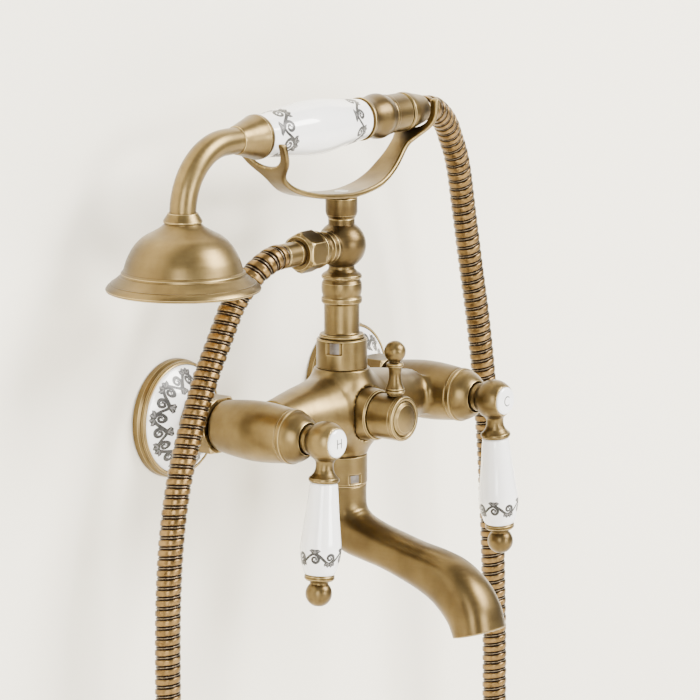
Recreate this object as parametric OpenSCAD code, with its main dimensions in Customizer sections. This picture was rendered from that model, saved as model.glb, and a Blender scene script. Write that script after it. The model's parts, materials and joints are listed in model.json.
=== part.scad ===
// Wall mounted bath and shower mixer with porcelain levers and a hand shower in a cradle.
// Millimetres. The origin lies on the wall plane, midway between the two inlets:
// +X to the right as seen from the room, -Y out of the wall, +Z up.

/* [Inlets] */
// Distance between the hot and the cold inlet axes
inlet_spacing = 150; // [149:0.5:153]
// Radius over the thread that screws into the wall (G1/2)
wall_thread_r = 10.48; // [10.3:0.01:10.6]
// Length of that thread behind the wall plane
wall_thread_len = 20; // [12:1:26]
// Radius of the waterway through the unions
union_bore_r = 7; // [5:0.5:7.5]

/* [Flanges] */
// Radius of the flange where it meets the wall
flange_r = 33; // [32:0.5:35]
// How far the flange rim stands out of the wall
flange_depth = 8; // [7.8:0.1:8.4]

/* [Body] */
// Distance from the wall to the axis of the crossbar and of the column
body_out = 60; // [60:0.5:61]
// Largest radius of the middle of the crossbar
body_mid_r = 22; // [21:0.5:23]
// Largest radius of the two valve bulbs
bulb_r = 16.6; // [16.3:0.1:17]

/* [Levers] */
// Distance from the wall to the centre of the ball that carries each lever
hub_out = 109; // [108.5:0.5:109.5]
// Radius of that ball
hub_r = 11.2; // [11:0.1:11.6]
// How far each lever leans outwards when the valve is closed, in degrees
lever_splay = 4.5; // [0:0.5:10]
// Largest radius of the porcelain part of a lever
lever_r = 11.2; // [10:0.1:12]

/* [Diverter] */
// Radius of the diverter knob
diverter_knob_r = 12.5; // [12.3:0.1:12.8]
// Height of the small ball on the diverter lever above the knob axis
diverter_ball_z = 37; // [36:0.5:40]

/* [Column] */
// Radius of the plain tube between the body and the tee
riser_r = 9.85; // [9.5:0.05:10.3]
// Height of the tee that feeds the hose
tee_z = 92.7; // [92.5:0.1:93]
// Radius of the ball of the tee
tee_r = 13.6; // [13.4:0.1:13.8]

/* [Cradle] */
// Thickness of the cradle strap
strap_t = 3; // [2.6:0.1:3.4]
// Width of the strap at the middle
strap_w = 18; // [16:1:20]
// Width across the fork at the porcelain end
fork_w = 35; // [33:1:36]
// Width across the fork at the hose end
back_fork_w = 31; // [30:1:34]

/* [Spout] */
// Wall thickness of the cast spout
spout_wall = 2.4; // [2:0.1:2.8]

/* [Hand shower] */
// Height of the axis of the grip
grip_z = 160.7; // [160.5:0.1:161.5]
// Largest radius of the porcelain grip
grip_r = 15.4; // [14.5:0.1:15.6]
// Distance from the column to the axis of the bell
bell_reach = 134; // [132:1:136]
// Height of the rim of the bell
bell_rim_z = 85.2; // [85:0.1:86]
// Radius of the rim of the bell
bell_r = 41.5; // [41:0.1:42]
// Bend radius of the tube between the grip and the bell
neck_bend_r = 35; // [34.8:0.1:35.2]
// Outer radius of that tube
neck_r = 7.2; // [7:0.1:7.3]

/* [Hose] */
// Outer radius of the metal hose
hose_r = 7.2; // [6.9:0.1:7.3]

/* [Hidden] */
$fn = 64;

hot = -1;
cold = 1;
brass = "#a8875a";
bright_brass = "#c9ab74";
porcelain = "#f6f4ee";
steel = "#b9bcc0";
rubber = "#26262a";
hose_brass = "#b48a56";

// running fit between a turning spindle and its bearing, and a loose fit between fixed pieces
run = 0.05;
slip = 0.1;
// gap between pieces that move past each other
air = 0.3;

// distances out of the wall along an inlet axis
thread34_r = 13.2;
union_end = 26;
washer_t = 2;
tail_start = union_end + washer_t;
nut_back = 31;
nut_end = 36.6;
bulb_start = 37;
bonnet_start = 85;
bonnet_end = 98;
valve_bore_r = 11.5;
spindle_r = 4;
hub_face = hub_out + 8.2;
button_seat = hub_out + 5.6;
screw_seat = hub_out + 4;

// distances below the middle of the hub, along a lever
lever_top = 22;
lever_end = 72;
finial_ball = 82.5;
rod_r = 2.5;

// distances out of the wall along the diverter axis
diverter_boss = 76;
ring_end = 86.8;
knob_end = 104.5;
diverter_spindle_r = 3;
diverter_lever_out = 97.4;

// heights on the column
collar_z = 24;
collar_top = 40.7;
collar_r = 14.1;
post_seat_z = 119.5;
spigot_end = -34;
nut_bottom = -41;
spout_top = -41.8;
shank_r = 9;

// distances along the axis of the grip, measured from the column
porcelain_front = -71;
porcelain_back = 14.7;
tube_r = 7;
front_notch_r = 12.65;
front_notch_z = 154.6;
back_notch_r = 10.3;
back_notch_z = 160.5;
hose_front = -51.7;
hose_back = 70.4;

// the route of the hose, from the sleeve at the tee to the nut at the grip
hose_route = [
    [-51.7, -60, 92.7], [-57, -60, 92.7], [-63.5, -60, 91.3], [-70, -59, 88],
    [-76, -57, 83], [-81.5, -55, 76], [-85.5, -53, 69], [-89.5, -52, 61], [-95.5, -51, 49],
    [-103.5, -50, 34], [-113.5, -50, 14], [-121.7, -50, -5], [-128.2, -50, -24],
    [-133, -50, -46], [-136, -50, -70], [-137.5, -50, -95], [-138, -50, -130],
    [-138, -50, -170], [-138, -50, -210], [-138, -50, -250], [-138, -50, -290],
    [-138, -50, -330], [-133, -50, -370], [-118, -49, -408], [-95, -49, -441],
    [-63, -49, -465], [-27, -48, -479], [11, -48, -484], [49, -48, -479], [85, -47, -465],
    [117, -47, -441], [140, -47, -408], [155, -46, -370], [160, -46, -330],
    [160, -46, -290], [160, -46, -250], [160, -46, -210], [160, -46, -170],
    [159, -46, -130], [157, -46, -90], [153.5, -46, -45], [148.7, -46, -5],
    [142.9, -46, 30], [136.3, -46, 61], [131.4, -46.5, 82], [126.3, -47.5, 101],
    [120.6, -49.5, 117], [114.3, -51.5, 130], [107.6, -53, 140], [102.1, -55, 146.5],
    [96.1, -56.5, 152], [89.3, -58, 156.5], [82.3, -59.5, 159.5], [75, -60, 160.7],
    [70.4, -60, 160.7]];

// ---------------------------------------------------------------- helpers

// a turned solid from [radius, height] pairs; both ends are closed to the axis
module turned(outline) {
    last = len(outline) - 1;
    rotate_extrude()
        polygon(concat([[0, outline[0][1]]], outline, [[0, outline[last][1]]]));
}

// a bore of one radius between two heights, a little longer at the ends that stay open
module bore(r, from, to) translate([0, 0, from]) cylinder(r = r, h = to - from);

// a ring turned about the axis
module ring(r_in, r_out, from, to) difference() {
    bore(r_out, from, to);
    bore(r_in, from - 1, to + 1);
}

// a hexagon nut blank with chamfered corners, its size taken across the flats
module hex_blank(across, from, to) intersection() {
    corner_r = across / 2 / cos(30);
    translate([0, 0, from]) cylinder(r = corner_r, h = to - from, $fn = 6);
    turned([[corner_r - 1.6, from], [corner_r, from + 1.2], [corner_r, to - 1.2],
            [corner_r - 1.6, to]]);
}

// children turn about an inlet axis, heights run out of the wall
module at_inlet(side) translate([side * inlet_spacing / 2, 0, 0]) rotate([90, 0, 0])
    children();

// children turn about the diverter axis, heights run out of the wall
module at_diverter() rotate([90, 0, 0]) children();

// children turn about the column
module at_column() translate([0, -body_out, 0]) children();

// children hang from the middle of a lever ball, heights run down the lever
module at_lever(side) translate([side * inlet_spacing / 2, -hub_out, 0])
    rotate([0, -side * lever_splay, 0]) rotate([180, 0, 0]) children();

// children turn about the grip, heights run towards the hose
module at_grip() translate([0, -body_out, grip_z]) rotate([0, 90, 0]) children();

// children turn about the hose outlet of the tee, heights run to the left
module at_outlet() translate([0, -body_out, tee_z]) rotate([0, -90, 0]) children();

// children turn about the bell, heights start at its rim
module at_bell() translate([-bell_reach, -body_out, bell_rim_z]) children();

// points between a and b on a smooth curve that also looks at its two neighbours
function between(before, a, b, after, t) =
    0.5 * ((2 * a) + (b - before) * t + (2 * before - 5 * a + 4 * b - after) * t * t
        + (3 * a - before - 3 * b + after) * t * t * t);

// a smooth line through a list of points, with steps points per stretch
function smooth(points, steps) = let (last = len(points) - 1) concat(
    [for (i = [0 : last - 1]) for (k = [0 : steps - 1])
        between(points[max(i - 1, 0)], points[i], points[i + 1], points[min(i + 2, last)],
            k / steps)],
    [points[last]]);

// unit vector, and the direction of a route at point i
function unit(v) = v / norm(v);
function heading(route, i) =
    unit(route[min(i + 1, len(route) - 1)] - route[max(i - 1, 0)]);

// a closed skin over rings of equal numbers of points, with a flat cap at each end
module skin(rings) {
    n = len(rings[0]);
    last = len(rings) - 1;
    polyhedron(
        points = [for (one = rings) for (p = one) p],
        faces = concat(
            [[for (k = [0 : n - 1]) k]],
            [for (i = [0 : last - 1]) for (k = [0 : n - 1])
                let (j = (k + 1) % n) [i * n + k, (i + 1) * n + k, (i + 1) * n + j]],
            [for (i = [0 : last - 1]) for (k = [0 : n - 1])
                let (j = (k + 1) % n) [i * n + k, (i + 1) * n + j, i * n + j]],
            [[for (k = [n - 1 : -1 : 0]) last * n + k]]));
}

// ---------------------------------------------------------------- inlets and flanges

module union_piece(side) color(brass) at_inlet(side) difference() {
    turned([[wall_thread_r - 0.8, -wall_thread_len], [wall_thread_r, 1 - wall_thread_len],
            [wall_thread_r, 0], [12.4, 0], [12.4, 4], [thread34_r, 4.4],
            [thread34_r, union_end - 0.8], [thread34_r - 0.8, union_end]]);
    bore(union_bore_r, -wall_thread_len - 1, union_end + 1);
}

module flange_rim(side) color(brass) at_inlet(side) rotate_extrude()
    polygon([[13.5, 3.8], [28.8, 3.8], [31, 0], [flange_r, 0], [flange_r, 2.6],
             [flange_r - 0.5, 5], [flange_r - 1.4, 7.2], [31, flange_depth],
             [30.4, flange_depth], [30.2, 5.6], [13.5, 5.6]]);

module flange_porcelain(side) color(porcelain) at_inlet(side) rotate_extrude()
    polygon([[14, 5.7], [30, 5.7], [30, 7.3], [29.4, 7.9], [27.5, 8.8], [24, 10.8],
             [20, 13.8], [17, 16.6], [15.6, 18.2], [14.7, 18.6], [14, 18]]);

module union_nut(side) color(brass) at_inlet(side) difference() {
    hex_blank(29.8, 19, nut_end);
    bore(thread34_r + slip, 18, nut_back);
    bore(10.8, nut_back - 1, nut_end + 1);
}

module union_washers() color(rubber) for (side = [hot, cold])
    at_inlet(side) ring(8, 12.8, union_end, tail_start);

// ---------------------------------------------------------------- mixer body

// outline of a valve bulb with the tail that the union nut holds
bulb_outline = [
    [12.9, tail_start], [12.9, nut_back - 0.1], [10.6, nut_back - 0.1], [10.6, bulb_start],
    [12.9, bulb_start], [13.8, 37.8], [14.5, 40], [15.1, 44], [15.9, 51], [16.4, 57],
    [bulb_r, 62], [16.4, 69], [15.8, 76], [15.1, 82], [14.7, bonnet_start]];

// half outline of the crossbar from the middle to a bulb
arm_outline = [
    [body_mid_r, 0], [body_mid_r - 0.5, 10], [20.9, 19], [19.5, 27], [18.2, 36], [16.6, 45],
    [15.2, 52], [14, 60]];

module main_body() color(brass) difference() {
    union() {
        for (side = [hot, cold]) {
            at_inlet(side) turned(bulb_outline);
            translate([0, -body_out, 0]) rotate([0, side * 90, 0]) turned(arm_outline);
        }
        at_column() turned([[13.9, -24.5], [14.9, -21.5], [16.6, -17.5], [19.2, -10],
            [20.8, -3], [21.2, 2], [20.6, 8], [18.9, 14], [17, 19], [15.4, collar_z]]);
        at_column() bore(11.8, spigot_end, -24);
        at_diverter() turned([[15.2, body_out], [15.2, 75], [14.6, diverter_boss]]);
    }
    for (side = [hot, cold]) at_inlet(side) {
        bore(union_bore_r, tail_start - 1, 50);
        bore(valve_bore_r, 48, bonnet_start + 1);
    }
    translate([0, -body_out, 0]) rotate([0, 90, 0])
        bore(6, -inlet_spacing / 2, inlet_spacing / 2);
    at_diverter() bore(9.5, 46, 71);
    at_diverter() bore(11, 70, diverter_boss + 1);
    at_diverter() bore(15.2, diverter_boss, 90);
    at_column() bore(6, -20, 13);
    at_column() bore(10, 12, collar_z + 1);
    at_column() bore(shank_r + run, spigot_end - 1, -19);
}

// ---------------------------------------------------------------- valves and levers

module cartridge(side) color(bright_brass) at_inlet(side) difference() {
    turned([[11.3, 48.2], [11.3, 61.8], [6.9, 61.8], [6.9, 75]]);
    bore(4.6, 47, 55);
    translate([0, 0, 51.5]) rotate([0, 90, 0]) bore(2.4, -12, 12);
    bore(spindle_r + run, 57, 76);
}

module spindle(side) color(bright_brass) at_inlet(side) difference() {
    turned([[spindle_r - 0.4, 57.3], [spindle_r, 57.7], [spindle_r, screw_seat - 2.4]]);
    bore(2, 100, screw_seat);
}

module bonnet(side) color(brass) at_inlet(side) difference() {
    turned([[valve_bore_r - slip, 62], [valve_bore_r - slip, bonnet_start],
            [14.7, bonnet_start], [15.1, 85.4], [15, 87.8], [14.4, 88.3], [14.1, 89.5],
            [13.4, 91.4], [12.2, 93.6], [10.6, 95.8], [9.4, 97.1], [8.6, 97.5], [8.2, 97.1],
            [8.2, 94.6], [6.8, 94.6], [6.8, bonnet_end]]);
    bore(7, 61, 75.5);
    bore(spindle_r + run, 75, bonnet_end + 1);
}

module handle_hub(side) color(brass) {
    difference() {
        union() {
            at_inlet(side) translate([0, 0, hub_out]) sphere(hub_r);
            at_inlet(side) bore(6.8, bonnet_end + air, hub_out - 7);
            at_lever(side) turned([[5.2, 6], [4.9, 11], [4.8, 13], [5, 15], [5.8, 17],
                [7.2, 18.6], [8.2, 19.4], [8.4, 20.2], [8.4, 20.9], [7.4, lever_top]]);
        }
        at_inlet(side) bore(spindle_r + slip, bonnet_end - 1, screw_seat - 2);
        at_inlet(side) bore(2.2, screw_seat - 3, hub_face);
        at_inlet(side) bore(4.4, screw_seat, hub_face + 8);
        at_inlet(side) bore(7.8, button_seat, hub_face + 8);
        at_inlet(side) bore(hub_r + 1, hub_face, hub_face + 8);
        at_lever(side) bore(rod_r + slip, 6.4, lever_top + 1);
    }
}

module lever_porcelain(side) color(porcelain) at_lever(side) difference() {
    turned(concat([[6.8, lever_top]],
        smooth([[7.5, lever_top + 0.8], [8.1, 28], [9, 38], [10.2, 48], [lever_r, 57],
            [10.7, 63], [9.4, 69], [8.3, 71.4]], 3),
        [[7.8, lever_end]]));
    bore(rod_r + slip, lever_top - 1, lever_end + 1);
}

module lever_finial(side) color(brass) at_lever(side) difference() {
    union() {
        turned([[7.6, lever_end], [8.2, lever_end + 0.8], [8.2, 74.6], [7, 75.6],
            [4.2, 76.4], [4, 79]]);
        translate([0, 0, finial_ball]) sphere(7.2);
    }
    bore(rod_r + slip, lever_end - 1, 81);
}

module lever_rod(side) color(steel) at_lever(side) bore(rod_r, 6.8, 80.6);

module handle_screw(side) color(steel) at_inlet(side) difference() {
    turned([[1.95, 101], [1.95, screw_seat], [4, screw_seat], [4, screw_seat + 1.4]]);
    translate([0, 0, screw_seat + 1.4]) cube([5, 0.9, 1.4], center = true);
}

module index_button(side) color(porcelain) at_inlet(side)
    turned([[7.7, button_seat], [7.7, hub_face + 0.1], [6.9, hub_face + 0.7],
        [5, hub_face + 1.1], [2.5, hub_face + 1.3]]);

// ---------------------------------------------------------------- diverter

module diverter_base_ring() color(brass) at_diverter() difference() {
    turned([[10.9, 70.2], [10.9, diverter_boss], [14.3, diverter_boss],
        [14.8, diverter_boss + 0.6], [14.7, 80], [14.1, 85.6], [13.4, ring_end]]);
    bore(diverter_spindle_r + run, 69, ring_end + 1);
}

module diverter_cartridge() color(bright_brass) at_diverter() difference() {
    turned([[9.4, 46.4], [9.4, 69.8]]);
    bore(diverter_spindle_r + run, 61, 70);
    translate([0, 0, 53]) rotate([90, 0, 0]) bore(4, -10, 10);
}

module diverter_spindle() color(bright_brass) at_diverter()
    bore(diverter_spindle_r, 61.4, 100.5);

module diverter_knob() color(brass) at_diverter() difference() {
    turned([[12.1, ring_end + air], [diverter_knob_r, ring_end + 1],
        [diverter_knob_r, 103], [12.1, 104.1], [11.4, knob_end]]);
    bore(diverter_spindle_r + slip, ring_end, 100.7);
    bore(9.6, 101.9, knob_end + 1);
    translate([0, 0, diverter_lever_out]) rotate([-90, 0, 0]) bore(2.5, 6, 20);
}

module diverter_cap() color(brass) at_diverter()
    turned([[9.5, 101.9], [9.5, 104.4], [8.6, 105], [6, 105.7], [3, 106]]);

module diverter_lever() color(brass) translate([0, -diverter_lever_out, 0]) {
    turned([[2.4, 6.2], [2.4, diverter_knob_r], [4.2, diverter_knob_r], [4.3, 13],
        [5.2, 13.2], [5.2, 14.2], [4.6, 15.4], [3.9, 17.6], [3.3, 21], [2.9, 25],
        [3.2, 28.2], [4.5, 29.1], [4.5, 30.4], [3.2, 31], [3, 33]]);
    translate([0, 0, diverter_ball_z]) sphere(6);
}

// ---------------------------------------------------------------- column and tee

module riser_collar() color(brass) at_column() difference() {
    turned([[9.9, 12.4], [9.9, collar_z], [collar_r - 0.4, collar_z],
        [collar_r, collar_z + 0.5], [collar_r, collar_top - 0.6],
        [collar_r - 0.6, collar_top]]);
    bore(5.5, 11, collar_top + 1);
    bore(8.1, 31, collar_top + 1);
    rotate([0, 0, 20]) translate([-collar_r - 4, 0, 36.3]) cube([10, 9.1, 6.8], center = true);
}

module riser_post() color(brass) at_column() difference() {
    union() {
        turned([[8, 31.4], [8, collar_top], [11.6, collar_top], [12.5, 41.3],
            [12.6, 42.1], [12, 43.2], [10.4, 43.6], [riser_r, 44.2], [riser_r, 60],
            [10.8, 60.2], [11.3, 61], [11.3, 63.2], [10.6, 64.2], [10.6, 64.8],
            [11.2, 66.4], [11.3, 69], [11.1, 71.6], [10.2, 73.4], [10.2, 74], [11.2, 74.4],
            [11.3, 75.8], [10.3, 76.8], [8.5, 78], [7.4, 79.4], [7.2, 81], [7.2, 84]]);
        translate([0, 0, tee_z]) sphere(tee_r);
        turned([[7.4, tee_z + 8], [7.4, 107.5]]);
        translate([0, 0, tee_z]) rotate([0, -90, 0]) bore(9, 4, 12.6);
    }
    bore(5, 30, tee_z);
    translate([0, 0, tee_z]) rotate([0, -90, 0]) bore(5, 0, 14);
    translate([0, 0, tee_z]) rotate([0, -90, 0]) bore(6.7, 8, 14);
    bore(5.1, 100, 109);
}

module cradle_post() color(brass) at_column() difference() {
    turned([[5, 100.2], [5, 107.5], [7.4, 107.5], [7.7, 108.2], [8.5, 109.6],
        [8.9, 111.4], [8.9, post_seat_z - 0.8],
        [8.3, post_seat_z]]);
    bore(2.1, 104, post_seat_z + 1);
}

module hose_outlet_nipple() color(brass) at_outlet() difference() {
    turned([[6.6, 8.2], [6.6, 12.6], [9, 12.6], [9.2, 13.2], [9.1, 16], [8.2, 17],
        [7.8, 18], [7.8, 20], [8.3, 21], [8.3, 33], [7.8, 33.4]]);
    bore(4.5, 7, 35);
}

// ---------------------------------------------------------------- cradle

// side view of the middle of the strap, from the front fork to the back fork
strap_line = smooth([[-69.4, 157.8], [-67.2, 152], [-64, 146.2], [-60, 140.2], [-54, 133.8],
    [-44, 128], [-26, 123.4], [0, 121], [19, 122.8], [32, 127.2], [43, 134.5], [52, 142.6],
    [59, 147.2], [64.2, 151.2], [67, 157], [68, 168]], 3);

// the strap line pushed sideways by a distance
function pushed(line, by) = [for (i = [0 : len(line) - 1])
    let (h = heading(line, i)) line[i] + by * [-h[1], h[0]]];

// plan outline of one half of the strap: widest in the middle, narrow necks, then the forks
strap_half = [[-80, 0], [-80, fork_w / 2], [-61.6, fork_w / 2], [-56.4, 9], [-51, 6.6],
    [-39, strap_w / 2 - 1], [-26, strap_w / 2], [26, strap_w / 2], [40, strap_w / 2 - 1],
    [51, 6.4], [57, 7.6], [62, back_fork_w / 2], [80, back_fork_w / 2], [80, 0]];

// the open slot of a fork between two places along the grip: round at the bottom
module fork_notch(from, to, r, z) {
    translate([0, 0, z]) rotate([0, 90, 0]) bore(r, from, to);
    translate([from, -r, z]) cube([to - from, 2 * r, 20]);
}

module cradle() color(brass) at_column() difference() {
    union() {
        intersection() {
            translate([0, fork_w / 2 + 1, 0]) rotate([90, 0, 0])
                linear_extrude(fork_w + 2)
                    polygon(concat(pushed(strap_line, strap_t / 2),
                        [for (i = [len(strap_line) - 1 : -1 : 0])
                            pushed(strap_line, -strap_t / 2)[i]]));
            translate([0, 0, 100]) linear_extrude(80) union() {
                polygon(strap_half);
                mirror([0, 1]) polygon(strap_half);
            }
        }
        bore(8.9, post_seat_z, 121);
    }
    fork_notch(-76, -57, front_notch_r, front_notch_z);
    fork_notch(59, 76, back_notch_r, back_notch_z);
    bore(2.2, post_seat_z - 1, 130);
    translate([0, 0, 120.9]) cylinder(r1 = 2.2, r2 = 5, h = 2.8);
}

module cradle_screw() color(steel) at_column() difference() {
    turned([[2, 104.6], [2, 120.9], [3.9, 122.6]]);
    translate([0, 0, 122.6]) cube([9, 1, 1.4], center = true);
}

// ---------------------------------------------------------------- spout

// stations down the middle of the spout: distance from the wall, height,
// direction in degrees, half width along X, half height across the direction
spout_stations = [
    [body_out, spout_top, -90, 13.6, 13.6], [body_out, -52, -88, 13.6, 13.6],
    [61.5, -59, -72, 13.6, 13.6], [65.5, -64.8, -48, 13.4, 13.4], [72.5, -69, -27, 13.2, 12.4],
    [84, -72.2, -15, 13, 11.3], [96, -75, -14, 13, 11], [111, -79, -16, 13, 11.6],
    [124, -82.4, -19, 13.4, 13], [136, -87, -29, 14.2, 14.4], [146, -94.4, -46, 15, 14.8],
    [152.5, -103, -62, 15.6, 14], [156, -112.5, -75, 16, 12.8]];

// children turn about the mouth of the spout, heights run up into it
module at_mouth() translate([0, -156, -112.5]) rotate([-15, 0, 0]) translate([0, 0, 1])
    children();

// one rounded-square ring of the spout, set in by a distance
function spout_ring(s, inset, sides) = [for (k = [0 : sides - 1])
    let (a = 360 * k / sides, squareness = 0.86,
         u = sign(cos(a)) * pow(abs(cos(a)), squareness) * (s[3] - inset),
         v = sign(sin(a)) * pow(abs(sin(a)), squareness) * (s[4] - inset))
    [u, -(s[0] - v * sin(s[2])), s[1] + v * cos(s[2])]];

module spout() color(brass) difference() {
    sides = 28;
    outer = [for (s = spout_stations) spout_ring(s, 0, sides)];
    inner = [for (s = spout_stations) spout_ring(s, spout_wall, sides)];
    n = len(spout_stations);
    rings = concat(outer, [for (i = [n - 1 : -1 : 0]) inner[i]]);
    total = len(rings);
    polyhedron(
        points = [for (one = rings) for (p = one) p],
        faces = concat(
            [for (i = [0 : total - 1]) for (k = [0 : sides - 1])
                let (j = (k + 1) % sides, up = (i + 1) % total)
                [i * sides + k, up * sides + k, up * sides + j]],
            [for (i = [0 : total - 1]) for (k = [0 : sides - 1])
                let (j = (k + 1) % sides, up = (i + 1) % total)
                [i * sides + k, up * sides + j, i * sides + j]]));
    at_mouth() bore(9.6, -2, 8);
}

module spout_shank() color(bright_brass) at_column() difference() {
    turned([[9.8, -55], [9.8, spout_top], [13.4, spout_top], [13.4, nut_bottom - air],
        [9.8, nut_bottom - air], [9.8, -36.7], [11.4, -36.7], [11.4, spigot_end - air],
        [shank_r, spigot_end - air], [shank_r, -20], [shank_r - 0.5, -19.5]]);
    bore(6, -56, -18);
    for (z = [-24, -29]) ring(7.5, shank_r + 1, z - 1.2, z + 1.2);
}

module spout_nut() color(brass) at_column() difference() {
    turned([[13.5, nut_bottom], [14, nut_bottom + 0.5], [14, -25.3], [13.5, -24.7]]);
    bore(11.9, -37, -24);
    bore(10.1, nut_bottom - 1, -36);
    rotate([0, 0, -19]) translate([0, -17, -37.4]) cube([7.8, 7.6, 5], center = true);
}

module spout_o_rings() color(rubber) at_column() for (z = [-24, -29])
    translate([0, 0, z]) rotate_extrude() translate([8.26, 0]) circle(r = 0.74);

module aerator() color(bright_brass) at_mouth() difference() {
    turned([[9, 0], [9.6, 0.6], [9.6, 7], [8.6, 8]]);
    bore(7.4, -1, 2);
    for (ring_r = [2.4, 5.2]) for (k = [0 : 7])
        rotate([0, 0, 45 * k + 9 * ring_r]) translate([ring_r, 0, 0]) bore(0.6, 1, 9);
}

// ---------------------------------------------------------------- hand shower

// outside and inside of the bell, as heights above its rim
bell_outside = smooth([[bell_r, 1.4], [40.2, 3.2], [36.4, 6.2], [33.4, 8.8]], 3);
bell_dome = smooth([[31.8, 12], [30.3, 16.6], [28.7, 20], [26.9, 23.1], [24.4, 26.2],
    [20.8, 29.2], [15.6, 32], [12, 34.2], [10.2, 35.8]], 3);
bell_inside = smooth([[29.4, 12.4], [28, 16.8], [25.6, 21], [22.4, 24.8], [18, 28],
    [13, 30.8], [9.4, 32.8], [neck_r + 0.05, 34.4]], 3);

module shower_bell() color(brass) at_bell() rotate_extrude() polygon(concat(
    [[bell_r - 1.2, 0], [bell_r - 0.3, 0.4]], bell_outside,
    [[33.2, 10], [32.6, 10.7], [32, 11.2]], bell_dome,
    [[10, 36.5], [10.5, 36.9], [10.5, 37.6], [9.5, 39.4], [8.6, 40.8], [8.2, 41.7],
     [7.8, 42], [neck_r + 0.05, 42]], [for (i = [len(bell_inside) - 1 : -1 : 0]) bell_inside[i]],
    [[31.4, 9.4], [34.6, 6.6], [37.4, 4.6], [39, 4.6], [39, 0]]));

module shower_faceplate() color(bright_brass) at_bell() difference() {
    turned([[38.2, 0.4], [38.8, 1], [38.8, 3]]);
    for (row = [1 : 4]) for (k = [0 : 6 * row - 1])
        rotate([0, 0, 360 * k / (6 * row)]) translate([8 * row, 0, 0]) bore(0.8, -1, 4);
}

module shower_gasket() color(rubber) at_bell() ring(35.6, 38.8, 3, 4.4);

module shower_neck() color(brass) {
    bend_x = -bell_reach + neck_bend_r;
    at_grip() ring(neck_r - 1.5, neck_r, bend_x, -79);
    translate([bend_x, -body_out, grip_z - neck_bend_r]) rotate([90, 0, 0])
        rotate([0, 0, 90]) rotate_extrude(angle = 90) translate([neck_bend_r, 0])
            difference() {
                circle(r = neck_r);
                circle(r = neck_r - 1.5);
            }
    at_bell() ring(neck_r - 1.5, neck_r, 36.6, grip_z - neck_bend_r - bell_rim_z);
}

module grip_front_ferrule() color(brass) at_grip() difference() {
    turned([[7.6, -90.4], [7.9, -89.8], [8.2, -88], [9.4, -84], [10.8, -79], [11.9, -75],
        [12.3, -73.4], [12.3, -72], [11.8, porcelain_front]]);
    bore(neck_r + 0.05, -91, -78.5);
    bore(tube_r + 0.05, -78.5, porcelain_front + 1);
}

module grip_porcelain() color(porcelain) at_grip() difference() {
    turned(concat([[10.8, porcelain_front]],
        smooth([[11.5, -70.4], [12.2, -62], [13.5, -50], [15, -36], [grip_r, -26],
            [15, -16], [13.4, -3], [12.1, 8], [11.5, 14]], 3),
        [[10.8, porcelain_back]]));
    bore(tube_r + slip, porcelain_front - 1, porcelain_back + 1);
}

module grip_inner_tube() color(steel) at_grip() ring(5.2, tube_r, -78, 28);

module grip_end_collar() color(brass) at_grip() difference() {
    turned(concat([[11.2, porcelain_back], [12.1, 15.4], [12.1, 16.8], [11, 18.2]],
        smooth([[11, 20], [11.2, 23], [11.9, 26.2], [12.5, 29], [12.7, 31.2], [12.2, 34],
            [11.3, 36.6]], 3),
        [[11.3, 37.3], [11.3, 39.3], [10.8, 40], [10.8, 51.3], [10.2, 52], [8, 52],
            [8, 58.6], [7.6, 59]]));
    bore(tube_r + 0.05, porcelain_back - 1, 28.2);
    bore(4.6, 27, 60);
}

// ---------------------------------------------------------------- hose and its fittings

// one ring of points about a route point, square to the direction of the route
function hose_ring(i, sides) =
    let (h = heading(hose_route, i), across = unit(cross(h, [0, 1, 0.02])),
         over = cross(across, h))
    [for (k = [0 : sides - 1]) let (a = 360 * k / sides)
        hose_route[i] + hose_r * (cos(a) * across + sin(a) * over)];

module hose() color(hose_brass) skin([for (i = [0 : len(hose_route) - 1]) hose_ring(i, 10)]);

module hose_hex_nut() color(brass) at_outlet() difference() {
    union() {
        hex_blank(20.4, 24.4, 38.4);
        turned([[9.8, 21.4], [10.4, 22], [10.4, 24.6]]);
    }
    bore(8.4, 20, 36.2);
    bore(6.9, 35, 40);
}

module hose_washer_lower() color(rubber) at_outlet() ring(4.5, 8.2, 33.4, 34.8);

module hose_sleeve_lower() color(bright_brass) at_outlet() difference() {
    turned([[8.2, 34.8], [8.2, 36.1], [6.8, 36.1], [6.8, 51.2], [6.4, -hose_front]]);
    bore(4, 33, 53);
}

module hose_cone_nut() color(brass) at_grip() difference() {
    turned([[10.3, 53], [11, 53.7], [11, 56], [10.5, 58.6], [9.9, 61], [9, 65.4],
        [8.2, 69.2], [7.8, 70]]);
    bore(8.1, 52, 61.8);
    bore(6.2, 61, 71);
}

module hose_washer_upper() color(rubber) at_grip() ring(4.6, 7.8, 59, 60.2);

module hose_sleeve_upper() color(bright_brass) at_grip() difference() {
    turned([[7.8, 60.2], [7.8, 61.6], [6, 61.6], [6, 70]]);
    bore(4, 59, 71);
}

union_piece(hot);  // union_left
union_piece(cold);  // union_right
flange_rim(hot);  // flange_rim_left
flange_rim(cold);  // flange_rim_right
flange_porcelain(hot);  // flange_porcelain_left
flange_porcelain(cold);  // flange_porcelain_right
union_nut(hot);  // union_nut_left
union_nut(cold);  // union_nut_right
union_washers();
main_body();
cartridge(hot);  // hot_cartridge
cartridge(cold);  // cold_cartridge
spindle(hot);  // hot_spindle
spindle(cold);  // cold_spindle
bonnet(hot);  // hot_bonnet
bonnet(cold);  // cold_bonnet
handle_hub(hot);  // hot_handle_hub
handle_hub(cold);  // cold_handle_hub
lever_porcelain(hot);  // hot_lever_porcelain
lever_porcelain(cold);  // cold_lever_porcelain
lever_finial(hot);  // hot_lever_finial
lever_finial(cold);  // cold_lever_finial
index_button(hot);  // hot_index_button
index_button(cold);  // cold_index_button
lever_rod(hot);  // hot_lever_rod
lever_rod(cold);  // cold_lever_rod
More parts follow.
